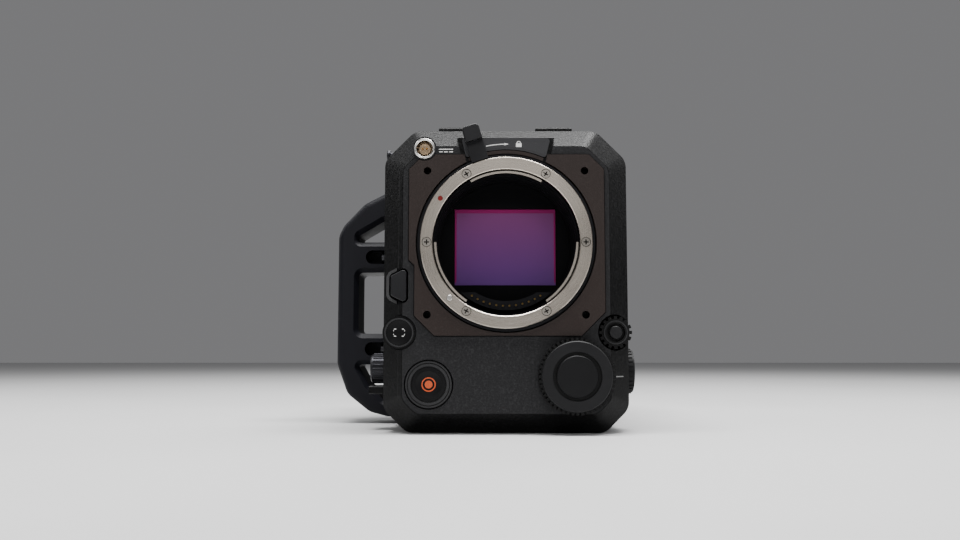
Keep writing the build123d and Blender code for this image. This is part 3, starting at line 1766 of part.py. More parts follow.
# Media door, hinged along its lower edge
with BuildPart() as media_door:
    with BuildSketch(
        Plane(origin=(0, door_front, 0), x_dir=(1, 0, 0), z_dir=(0, -1, 0))
    ):
        with Locations((door_axis_x, (door_axis_z + door_top) / 2)):
            Rectangle(door_thickness, door_top - door_axis_z)
        with Locations((door_axis_x, door_axis_z)):
            Circle(door_half_thickness)
            Circle(door_pin_radius + slide_gap, mode=Mode.SUBTRACT)
    extrude(amount=-(door_rear - door_front))
    with BuildSketch(side_plane(door_axis_x + door_half_thickness, door_mid_y, door_top)):
        Circle(door_notch_radius)
    extrude(amount=-door_notch_depth, mode=Mode.SUBTRACT)
save(media_door, "media_door")

with BuildPart() as door_pin:
    with BuildSketch(
        Plane(
            origin=(door_axis_x, door_front - door_gap - door_pin_reach, door_axis_z),
            x_dir=(1, 0, 0),
            z_dir=(0, 1, 0),
        )
    ):
        Circle(door_pin_radius)
    extrude(amount=door_rear - door_front + (door_gap + door_pin_reach) * 2)
save(door_pin, "door_pin")

# Main board, seated on the ledge inside the main housing
board_front_y = split_y + ledge_depth
board_back_y = board_front_y + board_thickness
with BuildPart() as main_board:
    with BuildSketch(front_plane(board_back_y)):
        add(inner_outline(main_board_ground))
    extrude(amount=board_thickness)
    with BuildSketch(axis_plane(board_back_y + chip_rise)):
        Rectangle(chip_square, chip_square)
    extrude(amount=chip_rise)
    with BuildSketch(axis_plane(board_back_y + memory_rise)):
        with GridLocations(chip_square + memory_width * 2, chip_square - memory_width, 2, 2):
            Rectangle(memory_width, memory_width)
    extrude(amount=memory_rise)
save(main_board, "main_board")

# Power board on its spacers
power_board_y = board_back_y + spacer_length
spacer_places = [(x, z) for x in (-spacer_x, spacer_x) for z in (spacer_low_z, spacer_high_z)]
with BuildPart() as power_board:
    with BuildSketch(front_plane(power_board_y)):
        with Locations(*spacer_places):
            RegularPolygon(spacer_radius, 6)
    extrude(amount=spacer_length)
    with BuildSketch(front_plane(power_board_y + board_thickness)):
        with Locations((0, (power_board_low + power_board_high) / 2)):
            Rectangle(power_board_width, power_board_high - power_board_low)
    extrude(amount=board_thickness)
    with BuildSketch(front_plane(power_board_y + board_thickness + coil_height)):
        with Locations((0, spacer_high_z - coil_radius * 3)):
            with GridLocations(coil_radius * 3, 0, coil_count, 1):
                RectangleRounded(coil_radius * 2, coil_radius * 2, coil_radius / 3)
    extrude(amount=coil_height)
    with BuildSketch(front_plane(power_board_y + board_thickness + capacitor_height)):
        with Locations((0, spacer_low_z + capacitor_radius * 4)):
            with GridLocations(capacitor_radius * 3, 0, capacitor_count, 1):
                Circle(capacitor_radius)
    extrude(amount=capacitor_height)
save(power_board, "power_board")

# Control board behind the front wall, with the switches of the record button and main dial
switch_depth = control_front_y - switch_front_y
with BuildPart() as control_board:
    with BuildSketch(front_plane(control_front_y + board_thickness)):
        with Locations((0, (control_low + control_high) / 2)):
            Rectangle(control_half * 2, control_high - control_low)
        with Locations((0, (control_high + control_ear_high) / 2)):
            Rectangle(control_half * 2, control_ear_high - control_high)
            Rectangle(
                (control_half - control_ear_width) * 2,
                control_ear_high - control_high,
                mode=Mode.SUBTRACT,
            )
    extrude(amount=board_thickness)
    with BuildSketch(front_plane(control_front_y)):
        with Locations((record_x, record_z), (dial_x, dial_z)):
            Rectangle(control_switch_side, control_switch_side)
    extrude(amount=switch_depth)
save(control_board, "control_board")

# Fan frame against the left panel, and its rotor
fan_outer_x = -panel_inner
fan_inner_x = fan_outer_x + fan_depth
rotor_front_x = fan_inner_x - fan_spoke_thickness - fit_gap
with BuildPart() as fan_frame:
    with BuildSketch(side_plane(fan_outer_x, fan_y, fan_z)):
        Rectangle(fan_side, fan_side)
        Circle(fan_bore, mode=Mode.SUBTRACT)
    extrude(amount=fan_depth)
    with BuildSketch(side_plane(fan_inner_x - fan_spoke_thickness, fan_y, fan_z)):
        Circle(fan_hub)
        Rectangle(fan_spoke_width, fan_bore * 2)
        Rectangle(fan_bore * 2, fan_spoke_width)
    extrude(amount=fan_spoke_thickness)
    with BuildSketch(side_plane(rotor_front_x - fan_hub_depth / 2, fan_y, fan_z)):
        Circle(fan_shaft)
    extrude(amount=fan_hub_depth / 2 + fit_gap)
save(fan_frame, "fan_frame")

blade_length = fan_blade_tip - fan_hub / 2
with BuildPart() as fan_rotor:
    with BuildSketch(side_plane(rotor_front_x - fan_hub_depth, fan_y, fan_z)):
        Circle(fan_hub)
    extrude(amount=fan_hub_depth)
    with Locations(side_plane(rotor_front_x - fan_hub_depth / 2, fan_y, fan_z)):
        with PolarLocations(fan_hub / 2 + blade_length / 2, fan_blades):
            Box(
                blade_length,
                fan_blade_thickness,
                fan_blade_chord,
                rotation=(fan_blade_pitch, 0, 0),
            )
    with BuildSketch(side_plane(rotor_front_x, fan_y, fan_z)):
        Circle(fan_shaft + slide_gap)
    extrude(amount=-(fan_hub_depth / 2 + fit_gap), mode=Mode.SUBTRACT)
save(fan_rotor, "fan_rotor")

# Battery plate with its wedge pocket and contacts
battery_back_y = rear_y + battery_thickness
wedge_floor_y = battery_back_y - wedge_depth
wedge_low_z = battery_z - battery_height / 2 + (battery_height - wedge_height) / 2 + wedge_lift
wedge_high_z = battery_z + battery_height / 2
catch_z = battery_z + catch_z_lift
wedge_half_at_catch = (
    wedge_bottom + (wedge_top - wedge_bottom) * (catch_z - wedge_low_z) / wedge_height
) / 2
catch_start_x = battery_x + wedge_half_at_catch - catch_overlap
with BuildPart() as battery_plate:
    with BuildSketch(front_plane(battery_back_y)):
        with Locations((battery_x, battery_z)):
            RectangleRounded(battery_width, battery_height, plate_corner)
    extrude(amount=battery_thickness)
    chamfer(battery_plate.faces().sort_by(Axis.Y)[-1].edges(), length=battery_edge)
    with BuildSketch(front_plane(battery_back_y)):
        add(
            polygon(
                (battery_x - wedge_bottom / 2, wedge_low_z),
                (battery_x + wedge_bottom / 2, wedge_low_z),
                (battery_x + wedge_top / 2, wedge_high_z),
                (battery_x - wedge_top / 2, wedge_high_z),
            )
        )
    extrude(amount=wedge_depth, mode=Mode.SUBTRACT)
    with BuildSketch(front_plane(battery_back_y)):
        with Locations((catch_start_x + (catch_width + catch_travel) / 2, catch_z)):
            Rectangle(catch_width + catch_travel + fit_gap, catch_height + fit_gap * 2)
    extrude(amount=wedge_depth, mode=Mode.SUBTRACT)
    with BuildSketch(front_plane(wedge_floor_y + contact_pad_proud)):
        with Locations((battery_x, wedge_low_z + contact_pad_height)):
            with GridLocations(contact_pad_pitch, 0, contact_pad_count, 1):
                Rectangle(contact_pad_width, contact_pad_height)
    extrude(amount=contact_pad_proud)
save(battery_plate, "battery_plate")

# Battery catch, sliding sideways in its channel
with BuildPart() as battery_catch:
    with BuildSketch(front_plane(wedge_floor_y + fit_gap + catch_thickness)):
        with Locations((catch_start_x + catch_width / 2, catch_z)):
            Rectangle(catch_width, catch_height)
    extrude(amount=catch_thickness)
    with BuildSketch(front_plane(wedge_floor_y + fit_gap + catch_thickness + catch_tab)):
        with Locations((catch_start_x + catch_width * 2 / 3, catch_z)):
            Rectangle(catch_tab, catch_height - catch_tab)
    extrude(amount=catch_tab)
save(battery_catch, "battery_catch")

# Video sockets on the rear plate
with BuildPart() as video_sockets:
    with BuildSketch(front_plane(rear_y + video_length)):
        with Locations((video_x, video_first_z)):
            with GridLocations(0, video_pitch, 1, video_count):
                Circle(video_barrel - slide_gap)
    extrude(amount=video_length + rear_wall)
    with BuildSketch(front_plane(rear_y + video_flange_thickness)):
        with Locations((video_x, video_first_z)):
            with GridLocations(0, video_pitch, 1, video_count):
                RegularPolygon(video_flange, 6)
    extrude(amount=video_flange_thickness)
    with BuildSketch(front_plane(rear_y + video_length - video_lug * 2)):
        with Locations((video_x, video_first_z)):
            with GridLocations(0, video_pitch, 1, video_count):
                Rectangle((video_barrel + video_lug) * 2, video_lug * 2)
    extrude(amount=video_lug * 2)
    with BuildSketch(front_plane(rear_y + video_length)):
        with Locations((video_x, video_first_z)):
            with GridLocations(0, video_pitch, 1, video_count):
                Circle(video_bore)
                Circle(video_pin, mode=Mode.SUBTRACT)
    extrude(amount=video_length - video_flange_thickness, mode=Mode.SUBTRACT)
save(video_sockets, "video_sockets")

# Casing screws: four in the rear plate and four in each side panel
with BuildPart() as casing_screws:
    with BuildSketch(front_plane(rear_y)):
        with Locations(*rear_screw_places):
            Circle(case_screw_head)
            Rectangle(case_screw_head, case_screw_slot, mode=Mode.SUBTRACT)
    extrude(amount=case_screw_head_height)
    with BuildSketch(front_plane(rear_y - case_screw_slot)):
        with Locations(*rear_screw_places):
            Circle(case_screw_head)
    extrude(amount=case_screw_head_height - case_screw_slot)
    with BuildSketch(front_plane(rear_y - case_screw_head_height)):
        with Locations(*rear_screw_places):
            Circle(case_screw_shank)
    extrude(amount=case_screw_length)
    for front_edge, mid_y, side in (
        (right_panel_front, right_mid_y, 1),
        (left_panel_front, left_mid_y, -1),
    ):
        head_x = side * (body_half - case_screw_head_height)
        with BuildSketch(side_plane(head_x, mid_y, panel_mid_z)):
            with panel_screw_grid(front_edge):
                Circle(case_screw_head)
        extrude(amount=side * case_screw_head_height)
        with BuildSketch(side_plane(side * body_half, mid_y, panel_mid_z)):
            with panel_screw_grid(front_edge):
                Rectangle(case_screw_head, case_screw_slot)
        extrude(amount=-side * case_screw_slot, mode=Mode.SUBTRACT)
        with BuildSketch(side_plane(head_x, mid_y, panel_mid_z)):
            with panel_screw_grid(front_edge):
                Circle(case_screw_shank)
        extrude(amount=-side * (case_screw_length - case_screw_head_height))
save(casing_screws, "casing_screws")

# Side handle: outer bar, two cross arms and a strip against the body
handle_inner = handle_outer - handle_bar
strip_x = body_half + handle_strip
handle_back_y = handle_front_y + handle_depth
cross_half = cross_height / 2
knee_x = body_half + (handle_outer - body_half) * handle_knee_share
foot_x = body_half - handle_foot_reach
shoulder_run = handle_outer - body_half
arm_slope = (handle_top_z - handle_shoulder_z) / shoulder_run
bulge_run = shoulder_run * handle_bulge_share
with BuildPart() as side_handle:
    with BuildSketch(front_plane(handle_back_y)) as handle_outline:
        add(
            polygon(
                (-body_half, handle_top_z),
                (-body_half - bulge_run, handle_top_z - bulge_run * arm_slope + handle_bulge),
                (-handle_outer + handle_shoulder_drop / 2, handle_shoulder_z),
                (-handle_outer, handle_shoulder_z - handle_shoulder_drop),
                (-handle_outer, handle_bend_z),
                (-knee_x - handle_foot_reach / 2, handle_bend_z / 2),
                (-knee_x + handle_arm, handle_sole_z),
                (-body_half - handle_strip, handle_foot_z),
                (-foot_x, handle_foot_z),
                (-foot_x, bottom_cut - handle_foot_reach),
                (-body_half, bottom_cut),
            )
        )
    extrude(amount=handle_depth)
    fillet(
        side_handle.edges()
        .filter_by(Axis.Y)
        .filter_by(lambda edge: edge.center().X < -body_half - handle_strip - cut_over),
        radius=handle_arm,
    )
    outer_faces = side_handle.faces().filter_by(Axis.Y)
    fillet(
        outer_faces.edges().filter_by(
            lambda edge: edge.center().X < -body_half - handle_strip / 2
        ),
        radius=handle_round,
    )
    with BuildSketch(front_plane(handle_back_y)) as upper_window:
        add(
            polygon(
                (-strip_x, cross_high_z + cross_half),
                (-strip_x, handle_top_z - handle_arm - handle_strip * (1 + arm_slope)),
                (-handle_inner, handle_shoulder_z - handle_shoulder_drop),
                (-handle_inner, cross_high_z + cross_half),
            )
        )
        fillet(upper_window.vertices(), window_round / 2)
    extrude(amount=handle_depth, mode=Mode.SUBTRACT)
    with BuildSketch(front_plane(handle_back_y)) as middle_window:
        add(
            polygon(
                (-strip_x, cross_low_z + cross_half),
                (-strip_x, cross_high_z - cross_half),
                (-handle_inner, cross_high_z - cross_half),
                (-handle_inner, cross_low_z + cross_half),
            )
        )
        fillet(middle_window.vertices(), window_round)
    extrude(amount=handle_depth, mode=Mode.SUBTRACT)
    with BuildSketch(front_plane(handle_back_y)) as lower_window:
        add(
            polygon(
                (-strip_x, cross_low_z - cross_half),
                (-handle_inner, cross_low_z - cross_half),
                (-knee_x + handle_arm, handle_bend_z / 2 + handle_strip),
                (-strip_x, handle_sole_z + handle_strip),
            )
        )
        fillet(lower_window.vertices(), window_round / 2)
    extrude(amount=handle_depth, mode=Mode.SUBTRACT)
    window_edges = side_handle.faces().filter_by(Axis.Y).edges().filter_by(
        lambda edge: edge.center().X > -handle_inner - window_bevel / 4
        and edge.center().X < -strip_x - window_bevel
    )
    chamfer(window_edges, length=window_bevel)
    # Obround pockets in the cross arms, front and back, with the screws inside them
    for pocket_y in (handle_front_y + pocket_depth, handle_back_y):
        for cross_z in (cross_high_z, cross_low_z):
            with BuildSketch(
                spot_plane(-strip_x - pocket_length / 2, pocket_y, cross_z)
            ):
                SlotOverall(pocket_length, pocket_height)
                with Locations((pocket_length / 4, 0)):
                    Rectangle(pocket_length / 2, pocket_height)
            extrude(amount=pocket_depth, mode=Mode.SUBTRACT)
    with BuildSketch(side_plane(-strip_x, handle_front_y)):
        with Locations(*cross_places):
            Circle(handle_screw_shank + slide_gap)
    extrude(amount=handle_strip, mode=Mode.SUBTRACT)
save(side_handle, "side_handle")

# Socket head screws of the handle, inside the pockets
with BuildPart() as handle_screws:
    with BuildSketch(side_plane(-strip_x, handle_front_y)):
        with Locations(*cross_places):
            Circle(handle_screw_head)
    extrude(amount=-handle_screw_head_height)
    with BuildSketch(side_plane(-strip_x, handle_front_y)):
        with Locations(*cross_places):
            Circle(handle_screw_shank)
    extrude(amount=handle_screw_length)
    with BuildSketch(side_plane(-strip_x - handle_screw_head_height, handle_front_y)):
        with Locations(*cross_places):
            RegularPolygon(handle_hex, 6)
    extrude(amount=handle_hex_depth, mode=Mode.SUBTRACT)
save(handle_screws, "handle_screws")
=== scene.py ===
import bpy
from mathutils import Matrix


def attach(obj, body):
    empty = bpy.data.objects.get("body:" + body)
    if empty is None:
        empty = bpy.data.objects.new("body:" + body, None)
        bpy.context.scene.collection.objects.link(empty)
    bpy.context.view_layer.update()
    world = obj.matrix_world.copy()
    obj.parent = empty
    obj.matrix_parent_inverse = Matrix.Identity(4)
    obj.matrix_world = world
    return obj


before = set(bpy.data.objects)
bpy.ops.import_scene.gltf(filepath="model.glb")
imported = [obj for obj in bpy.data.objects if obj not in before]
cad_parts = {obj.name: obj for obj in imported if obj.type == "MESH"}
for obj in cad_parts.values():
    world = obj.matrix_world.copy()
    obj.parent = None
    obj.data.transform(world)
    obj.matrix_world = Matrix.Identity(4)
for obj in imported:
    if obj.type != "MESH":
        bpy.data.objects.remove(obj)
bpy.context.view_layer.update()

from math import cos, pi, radians, sin

import bmesh
import bpy
from mathutils import Matrix, Vector

MM = 0.001
OUT = Vector((0, -1, 0))
SHADOW = (0.002, 0.002, 0.002)

# Round parts of the front, by the x and z of their axes in millimetres
LENS = (0.0, 86.3)
RECORD = (-34.9, 22.3)
GRAB = (-48.3, 45.5)
DIAL = (31.2, 26.0)
SMALL_DIAL = (49.4, 45.6)

# Places along y, in millimetres, behind which a finish is sunk and painted dark as shade
SCREW_SUNK = -26.38
RING_SUNK = -25.65
LOCK_RING_SUNK = -23.5
DIAL_SUNK = -30.4
PLATE_SUNK = -23.8

# The guard's front along y and its inner limit along x, which bound its painted highlight, and
# where the painted shade of the sunk strips starts along z
RIB_FRONT = -21.56
RIB_LIMIT = -49.0
STRIPS_FROM = 121.5

# The filter's coloured edge, measured from the lens axis: top, sides and the sides' lower end
FILTER_TOP = 16.2
FILTER_SIDE = 22.95
FILTER_FOOT = -17.8


class Value:
    """A node's output that can be written in sums."""

    def __init__(self, finish, socket):
        self.finish = finish
        self.socket = socket

    def maths(self, operation, first, second):
        return self.finish.node(
            "ShaderNodeMath", {"operation": operation}, {0: first, 1: second}
        )

    def __add__(self, other):
        return self.maths("ADD", self, other)

    def __radd__(self, other):
        return self.maths("ADD", other, self)

    def __sub__(self, other):
        return self.maths("SUBTRACT", self, other)

    def __rsub__(self, other):
        return self.maths("SUBTRACT", other, self)

    def __mul__(self, other):
        return self.maths("MULTIPLY", self, other)

    def __rmul__(self, other):
        return self.maths("MULTIPLY", other, self)

    def __pow__(self, other):
        return self.maths("POWER", self, other)

    def over(self, limit):
        return self.maths("GREATER_THAN", self, limit)

    def joined(self, other):
        """The larger of two masks at each point."""
        return self.maths("MAXIMUM", self, other)


class Finish:
    """One surface finish: a material with its shader and the nodes that vary it."""

    def __init__(self, name, **constants):
        self.material = bpy.data.materials.new(name)
        self.material.use_nodes = True
        self.tree = self.material.node_tree
        self.shader = self.tree.nodes["Principled BSDF"]
        for socket, value in constants.items():
            self.shader.inputs[socket.replace("_", " ")].default_value = value
        self.place = self.node("ShaderNodeTexCoord", {}, {}, output="Object")

    def node(self, kind, settings, sockets, output=0):
        made = self.tree.nodes.new(kind)
        for key, value in settings.items():
            setattr(made, key, value)
        for key, value in sockets.items():
            if isinstance(value, Value):
                self.tree.links.new(value.socket, made.inputs[key])
            elif made.inputs[key].type == "RGBA":
                made.inputs[key].default_value = (*value, 1.0)
            else:
                made.inputs[key].default_value = value
        return Value(self, made.outputs[output])

    def stretched(self, x, y, z):
        """Object coordinates drawn out along the axes."""
        return self.node("ShaderNodeMapping", {}, {"Vector": self.place, "Scale": (x, y, z)})

    def noise(self, scale, detail=2.0, roughness=0.5, where=None):
        return self.node(
            "ShaderNodeTexNoise", {},
            {
                "Vector": where or self.place, "Scale": scale,
                "Detail": detail, "Roughness": roughness,
            },
        )

    def rings(self, distance, scale, detail):
        """Noise that changes only with the distance from an axis, as turning marks do."""
        return self.node(
            "ShaderNodeTexNoise", {"noise_dimensions": "1D"},
            {"W": distance, "Scale": scale, "Detail": detail},
        )

    def cells(self, scale):
        return self.node("ShaderNodeTexVoronoi", {}, {"Vector": self.place, "Scale": scale})

    def steps(self, value, low, high):
        """Stretches a value's range from low and high to 0 and 1."""
        return self.node(
            "ShaderNodeMapRange", {},
            {"Value": value, "From Min": low, "From Max": high, "To Min": 0.0, "To Max": 1.0},
        )

    def past(self, place, edge, blur=0.1):
        """Mask of what lies past an edge, both in millimetres; a negative blur turns it round."""
        return self.steps(place, edge * MM, (edge + blur) * MM)

    def blend(self, share, first, second):
        """Colour between two colours."""
        return self.node(
            "ShaderNodeMix", {"data_type": "RGBA"}, {0: share, 6: first, 7: second}, output=2
        )

    def part(self, axis):
        """One coordinate of the place, in metres."""
        return self.node("ShaderNodeSeparateXYZ", {}, {0: self.place}, output=axis)

    def from_axis(self, centre):
        """Distance in metres from an axis that runs front to back."""
        across = self.part("X") - centre[0] * MM
        up = self.part("Z") - centre[1] * MM
        return (across * across + up * up) ** 0.5

    def paint(self, socket, value):
        self.tree.links.new(value.socket, self.shader.inputs[socket])

    def relief(self, height, strength, depth):
        """Bump of a depth in millimetres."""
        bump = self.node(
            "ShaderNodeBump", {},
            {"Height": height, "Strength": strength, "Distance": depth * MM},
        )
        self.paint("Normal", bump)


def textured_paint(
    name, dark, light, *, grain, rough, relief, sparkle, shine, rib_highlight=None, shaded_strips=False
):
    """Powder coated casting: fine grain, pale specks and faint smudges.

    A painted highlight colour lightens the front of the guard beside the release button. Sunk
    strips get painted shade at the ends of the lock lever's track.
    """
    made = Finish(name, Specular_IOR_Level=shine)
    fine = made.noise(grain, 3.0, 0.6)
    specks = made.cells(grain * 0.9)
    smudge = made.noise(22.0, 3.0)
    share = made.steps(fine, 0.42, 0.68) * sparkle + made.steps(specks, 0.55, 0.95) * sparkle
    tone = made.blend(share, dark, light)
    # Painted shade in the sunk strips at the ends of the lock lever's track
    if shaded_strips:
        upper = made.part("Z").over(STRIPS_FROM * MM)
        tone = made.blend(made.past(made.part("Y"), PLATE_SUNK) * upper, tone, SHADOW)
    # Painted highlight on the front of the release button's guard
    if rib_highlight:
        front = made.past(made.part("Y"), RIB_FRONT + 0.06, -0.06)
        side = made.past(made.part("X"), RIB_LIMIT + 0.1, -0.1)
        tone = made.blend(front * side, tone, rib_highlight)
    made.paint("Base Color", tone)
    made.paint("Roughness", rough + (fine - 0.5) * 0.22 + (smudge - 0.5) * 0.16)
    made.relief(fine + specks * 0.4, relief, 0.12)
    return made.material


def moulded(name, dark, light, rough, grain=2600.0, relief=0.12, axis=None, groove=None, bands=()):
    """Fine matte moulding or anodised turning.

    A groove, given by its radius about the axis and where it starts along y, gets painted shade,
    and so do bands, each given by its inner and outer radius. All lengths are in millimetres.
    """
    made = Finish(name, Specular_IOR_Level=0.15)
    fine = made.noise(grain, 2.0)
    smudge = made.noise(60.0, 3.0)
    tone = made.blend(made.steps(smudge, 0.3, 0.75) * 0.6 + fine * 0.4, dark, light)
    # Painted shade in the groove and the bands, blended towards SHADOW
    if groove:
        radius, mouth = groove
        inside = 1.0 - made.past(made.from_axis(axis), radius)
        tone = made.blend(inside * made.past(made.part("Y"), mouth) * 0.9, tone, SHADOW)
    for inner, outer in bands:
        away = made.from_axis(axis)
        band = made.past(away, inner, 0.05) - made.past(away, outer, 0.05)
        tone = made.blend(band * 0.92, tone, SHADOW)
    made.paint("Base Color", tone)
    made.paint("Roughness", rough + (fine - 0.5) * 0.12 + (smudge - 0.5) * 0.14)
    made.relief(fine, relief, 0.06)
    return made.material


def satin_handle(name, dark, light):
    """Hard coated handle with a cool sheen and wiped smudges."""
    made = Finish(name, Specular_IOR_Level=0.14)
    fine = made.noise(1500.0, 3.0)
    wipe = made.noise(9.0, 4.0, 0.6, made.stretched(1.6, 1.0, 0.5))
    made.paint("Base Color", made.blend(made.steps(wipe, 0.35, 0.7), dark, light))
    made.paint("Roughness", 0.52 + (wipe - 0.5) * 0.22 + (fine - 0.5) * 0.1)
    made.relief(fine, 0.16, 0.08)
    return made.material


def turned_ring(name, dark, light, rough, shade_from):
    """Metal turned about the lens axis, with fine concentric marks and painted shade in its sunk
    places.
    """
    made = Finish(name, Metallic=1.0)
    radius = made.from_axis(LENS)
    marks = made.rings(radius, 9000.0, 3.0)
    bands = made.rings(radius, 700.0, 1.0)
    cloud = made.noise(30.0, 2.0)
    tone = made.blend(marks * 0.5 + bands * 0.25 + cloud * 0.25, dark, light)
    # Painted shade: places behind the given depth blend towards SHADOW
    sunk = made.past(made.part("Y"), shade_from)
    made.paint("Base Color", made.blend(sunk * 0.93, tone, SHADOW))
    made.paint("Roughness", rough + (marks - 0.5) * 0.16 + (cloud - 0.5) * 0.1)
    made.relief(marks, 0.12, 0.03)
    return made.material


def brushed(name, dark, light, rough, along=(1.0, 14.0, 14.0), shade_from=None):
    """Drawn or milled metal with marks along one way, with painted shade where it is sunk."""
    made = Finish(name, Metallic=1.0)
    marks = made.noise(420.0, 3.0, 0.6, made.stretched(*along))
    cloud = made.noise(45.0, 2.0)
    tone = made.blend(marks * 0.6 + cloud * 0.4, dark, light)
    # Painted shade: places behind the given depth blend towards SHADOW
    if shade_from:
        tone = made.blend(made.past(made.part("Y"), shade_from) * 0.95, tone, SHADOW)
    made.paint("Base Color", tone)
    made.paint("Roughness", rough + (marks - 0.5) * 0.2 + (cloud - 0.5) * 0.08)
    made.relief(marks, 0.08, 0.03)
    return made.material


def stepped_black(name, deep, mouth):
    """Light trap black, a little paler on the turned steps near the mouth and darker deeper in:
    painted shade.
    """
    made = Finish(name, Specular_IOR_Level=0.06)
    fine = made.noise(2200.0, 2.0)
    # Painted shade: the black darkens with depth into the throat
    nearness = made.past(made.part("Y"), -6.0, -16.0)
    made.paint("Base Color", made.blend(nearness * 0.7 + fine * 0.3, deep, mouth))
    made.paint("Roughness", 0.62 + (fine - 0.5) * 0.2)
    made.relief(fine, 0.2, 0.05)
    return made.material


def coated_filter(name, low_tone, high_tone, edge_tone):
    """Coated filter glass: purple, redder to the top, with a magenta edge band."""
    made = Finish(name, Metallic=0.25, Specular_IOR_Level=0.2, Coat_Roughness=0.05)
    across = made.part("X")
    up = made.part("Z") - LENS[1] * MM
    face = made.blend(made.past(up, -18.0, 36.0), low_tone, high_tone)
    side = (across * across) ** 0.5
    top_band = made.past(up, FILTER_TOP, 0.15)
    side_band = made.past(side, FILTER_SIDE, 0.15) * made.past(up, FILTER_FOOT, 1.8)
    haze = made.noise(35.0, 2.0)
    made.paint("Base Color", made.blend(top_band.joined(side_band) * 0.9, face, edge_tone))
    made.paint("Roughness", 0.22 + (haze - 0.5) * 0.08)
    made.paint("Coat Weight", 0.25 + (haze - 0.5) * 0.2)
    return made.material


def dark_glass(name, lower, upper):
    """Display cover, black behind a clear coat with faint wiping marks, a little lighter towards
    the top.
    """
    made = Finish(name, Specular_IOR_Level=0.2, Coat_Roughness=0.04)
    wipe = made.noise(40.0, 4.0, 0.6, made.stretched(1.0, 1.0, 3.0))
    height = made.past(made.part("Z"), 65.0, 45.0)
    made.paint("Base Color", made.blend(height, lower, upper))
    made.paint("Roughness", 0.22 + wipe * 0.12)
    made.paint("Coat Weight", 0.18 + wipe * 0.12)
    return made.material


def circuit(name, base, track, tin):
    """Green board with paler tracks and tinned pads."""
    made = Finish(name, Specular_IOR_Level=0.5)
    blocks = made.node(
        "ShaderNodeTexBrick", {}, {"Vector": made.place, "Scale": 190.0, "Mortar Size": 0.035}
    )
    lines = made.noise(260.0, 1.0, 0.5, made.stretched(1.0, 1.0, 4.0))
    pads = 1.0 - made.steps(made.cells(330.0), 0.16, 0.2)
    green = made.blend(made.steps(lines, 0.5, 0.56) * 0.6, base, track)
    made.paint("Base Color", made.blend(pads * 0.6, green, tin))
    made.paint("Roughness", 0.35 + blocks * 0.1)
    made.paint("Metallic", pads * 0.7)
    return made.material


def ink(name, colour, rough=0.5):
    """Printed or filled mark, slightly uneven."""
    made = Finish(name, Specular_IOR_Level=0.4)
    uneven = made.noise(1900.0, 2.0)
    faded = tuple(part * 0.8 for part in colour)
    made.paint("Base Color", made.blend(made.steps(uneven, 0.3, 0.7), faded, colour))
    made.paint("Roughness", rough + (uneven - 0.5) * 0.2)
    made.relief(uneven, 0.1, 0.04)
    return made.material


# The black casting carries a painted highlight on the release button's guard
casting = textured_paint(
    "black_casting", (0.0005, 0.0005, 0.0006), (0.018, 0.018, 0.0188),
    grain=1000.0, rough=0.37, relief=0.62, sparkle=0.24, shine=0.12, rib_highlight=(0.046, 0.046, 0.047),
)
fascia = textured_paint(
    "grey_fascia", (0.0120, 0.0120, 0.0128), (0.042, 0.042, 0.043),
    grain=1300.0, rough=0.56, relief=0.40, sparkle=0.25, shine=0.10,
)
label = textured_paint(
    "label_grey", (0.026, 0.026, 0.028), (0.052, 0.052, 0.055),
    grain=2600.0, rough=0.50, relief=0.12, sparkle=0.2, shine=0.16,
)
# The mount plate carries painted shade in the strips at the ends of the lock lever's track
plate = textured_paint(
    "mount_plate_brown", (0.0200, 0.0148, 0.0134), (0.044, 0.033, 0.030),
    grain=1900.0, rough=0.46, relief=0.2, sparkle=0.25, shine=0.12, shaded_strips=True,
)
panel = textured_paint(
    "black_panel", (0.004, 0.004, 0.0045), (0.022, 0.022, 0.023),
    grain=1900.0, rough=0.54, relief=0.3, sparkle=0.22, shine=0.18,
)
control = moulded("control_black", (0.0022, 0.0022, 0.0026), (0.0050, 0.0050, 0.0056), rough=0.50)
# Painted shade on the dials and rings: the main dial's groove and knurl, the small dial's face but
# for a thin ring, the record ring's grooves and the grab ring's outer part where it meets the body
dial = moulded(
    "dial_black", (0.0060, 0.0060, 0.0066), (0.0105, 0.0105, 0.0113), rough=0.50,
    axis=DIAL, groove=(11.2, DIAL_SUNK), bands=((15.7, 20.0),),
)
small_dial = moulded(
    "small_dial_black", (0.0170, 0.0170, 0.0180), (0.0280, 0.0280, 0.0290), rough=0.40,
    axis=SMALL_DIAL, bands=((0.0, 4.9), (5.4, 10.0)),
)
small_button = moulded(
    "small_button_black", (0.0080, 0.0080, 0.0086), (0.0130, 0.0130, 0.0138), rough=0.50
)
button_black = moulded(
    "button_black", (0.0010, 0.0010, 0.0012), (0.0022, 0.0022, 0.0026), rough=0.42
)
record_ring = moulded(
    "record_ring_black", (0.0170, 0.0170, 0.0180), (0.0280, 0.0280, 0.0290), rough=0.36,
    axis=RECORD, bands=((10.3, 13.0), (9.2, 9.7), (7.7, 8.1)),
)
grab_ring = moulded(
    "grab_ring_black", (0.0210, 0.0210, 0.0220), (0.0340, 0.0340, 0.0350), rough=0.36,
    axis=GRAB, bands=((6.5, 9.0),),
)
lever = moulded("lever_black", (0.0080, 0.0080, 0.0088), (0.0140, 0.0140, 0.0152), rough=0.36)
panel_plastic = moulded(
    "panel_plastic", (0.014, 0.014, 0.015), (0.024, 0.024, 0.026), rough=0.5,
    grain=1700.0, relief=0.2,
)
catch = moulded("catch_grey", (0.10, 0.10, 0.105), (0.15, 0.15, 0.155), rough=0.48)
fan_plastic = moulded("fan_black", (0.010, 0.010, 0.010), (0.018, 0.018, 0.018), rough=0.5)
ceramic = moulded("sensor_ceramic", (0.05, 0.05, 0.055), (0.08, 0.08, 0.085), rough=0.35)
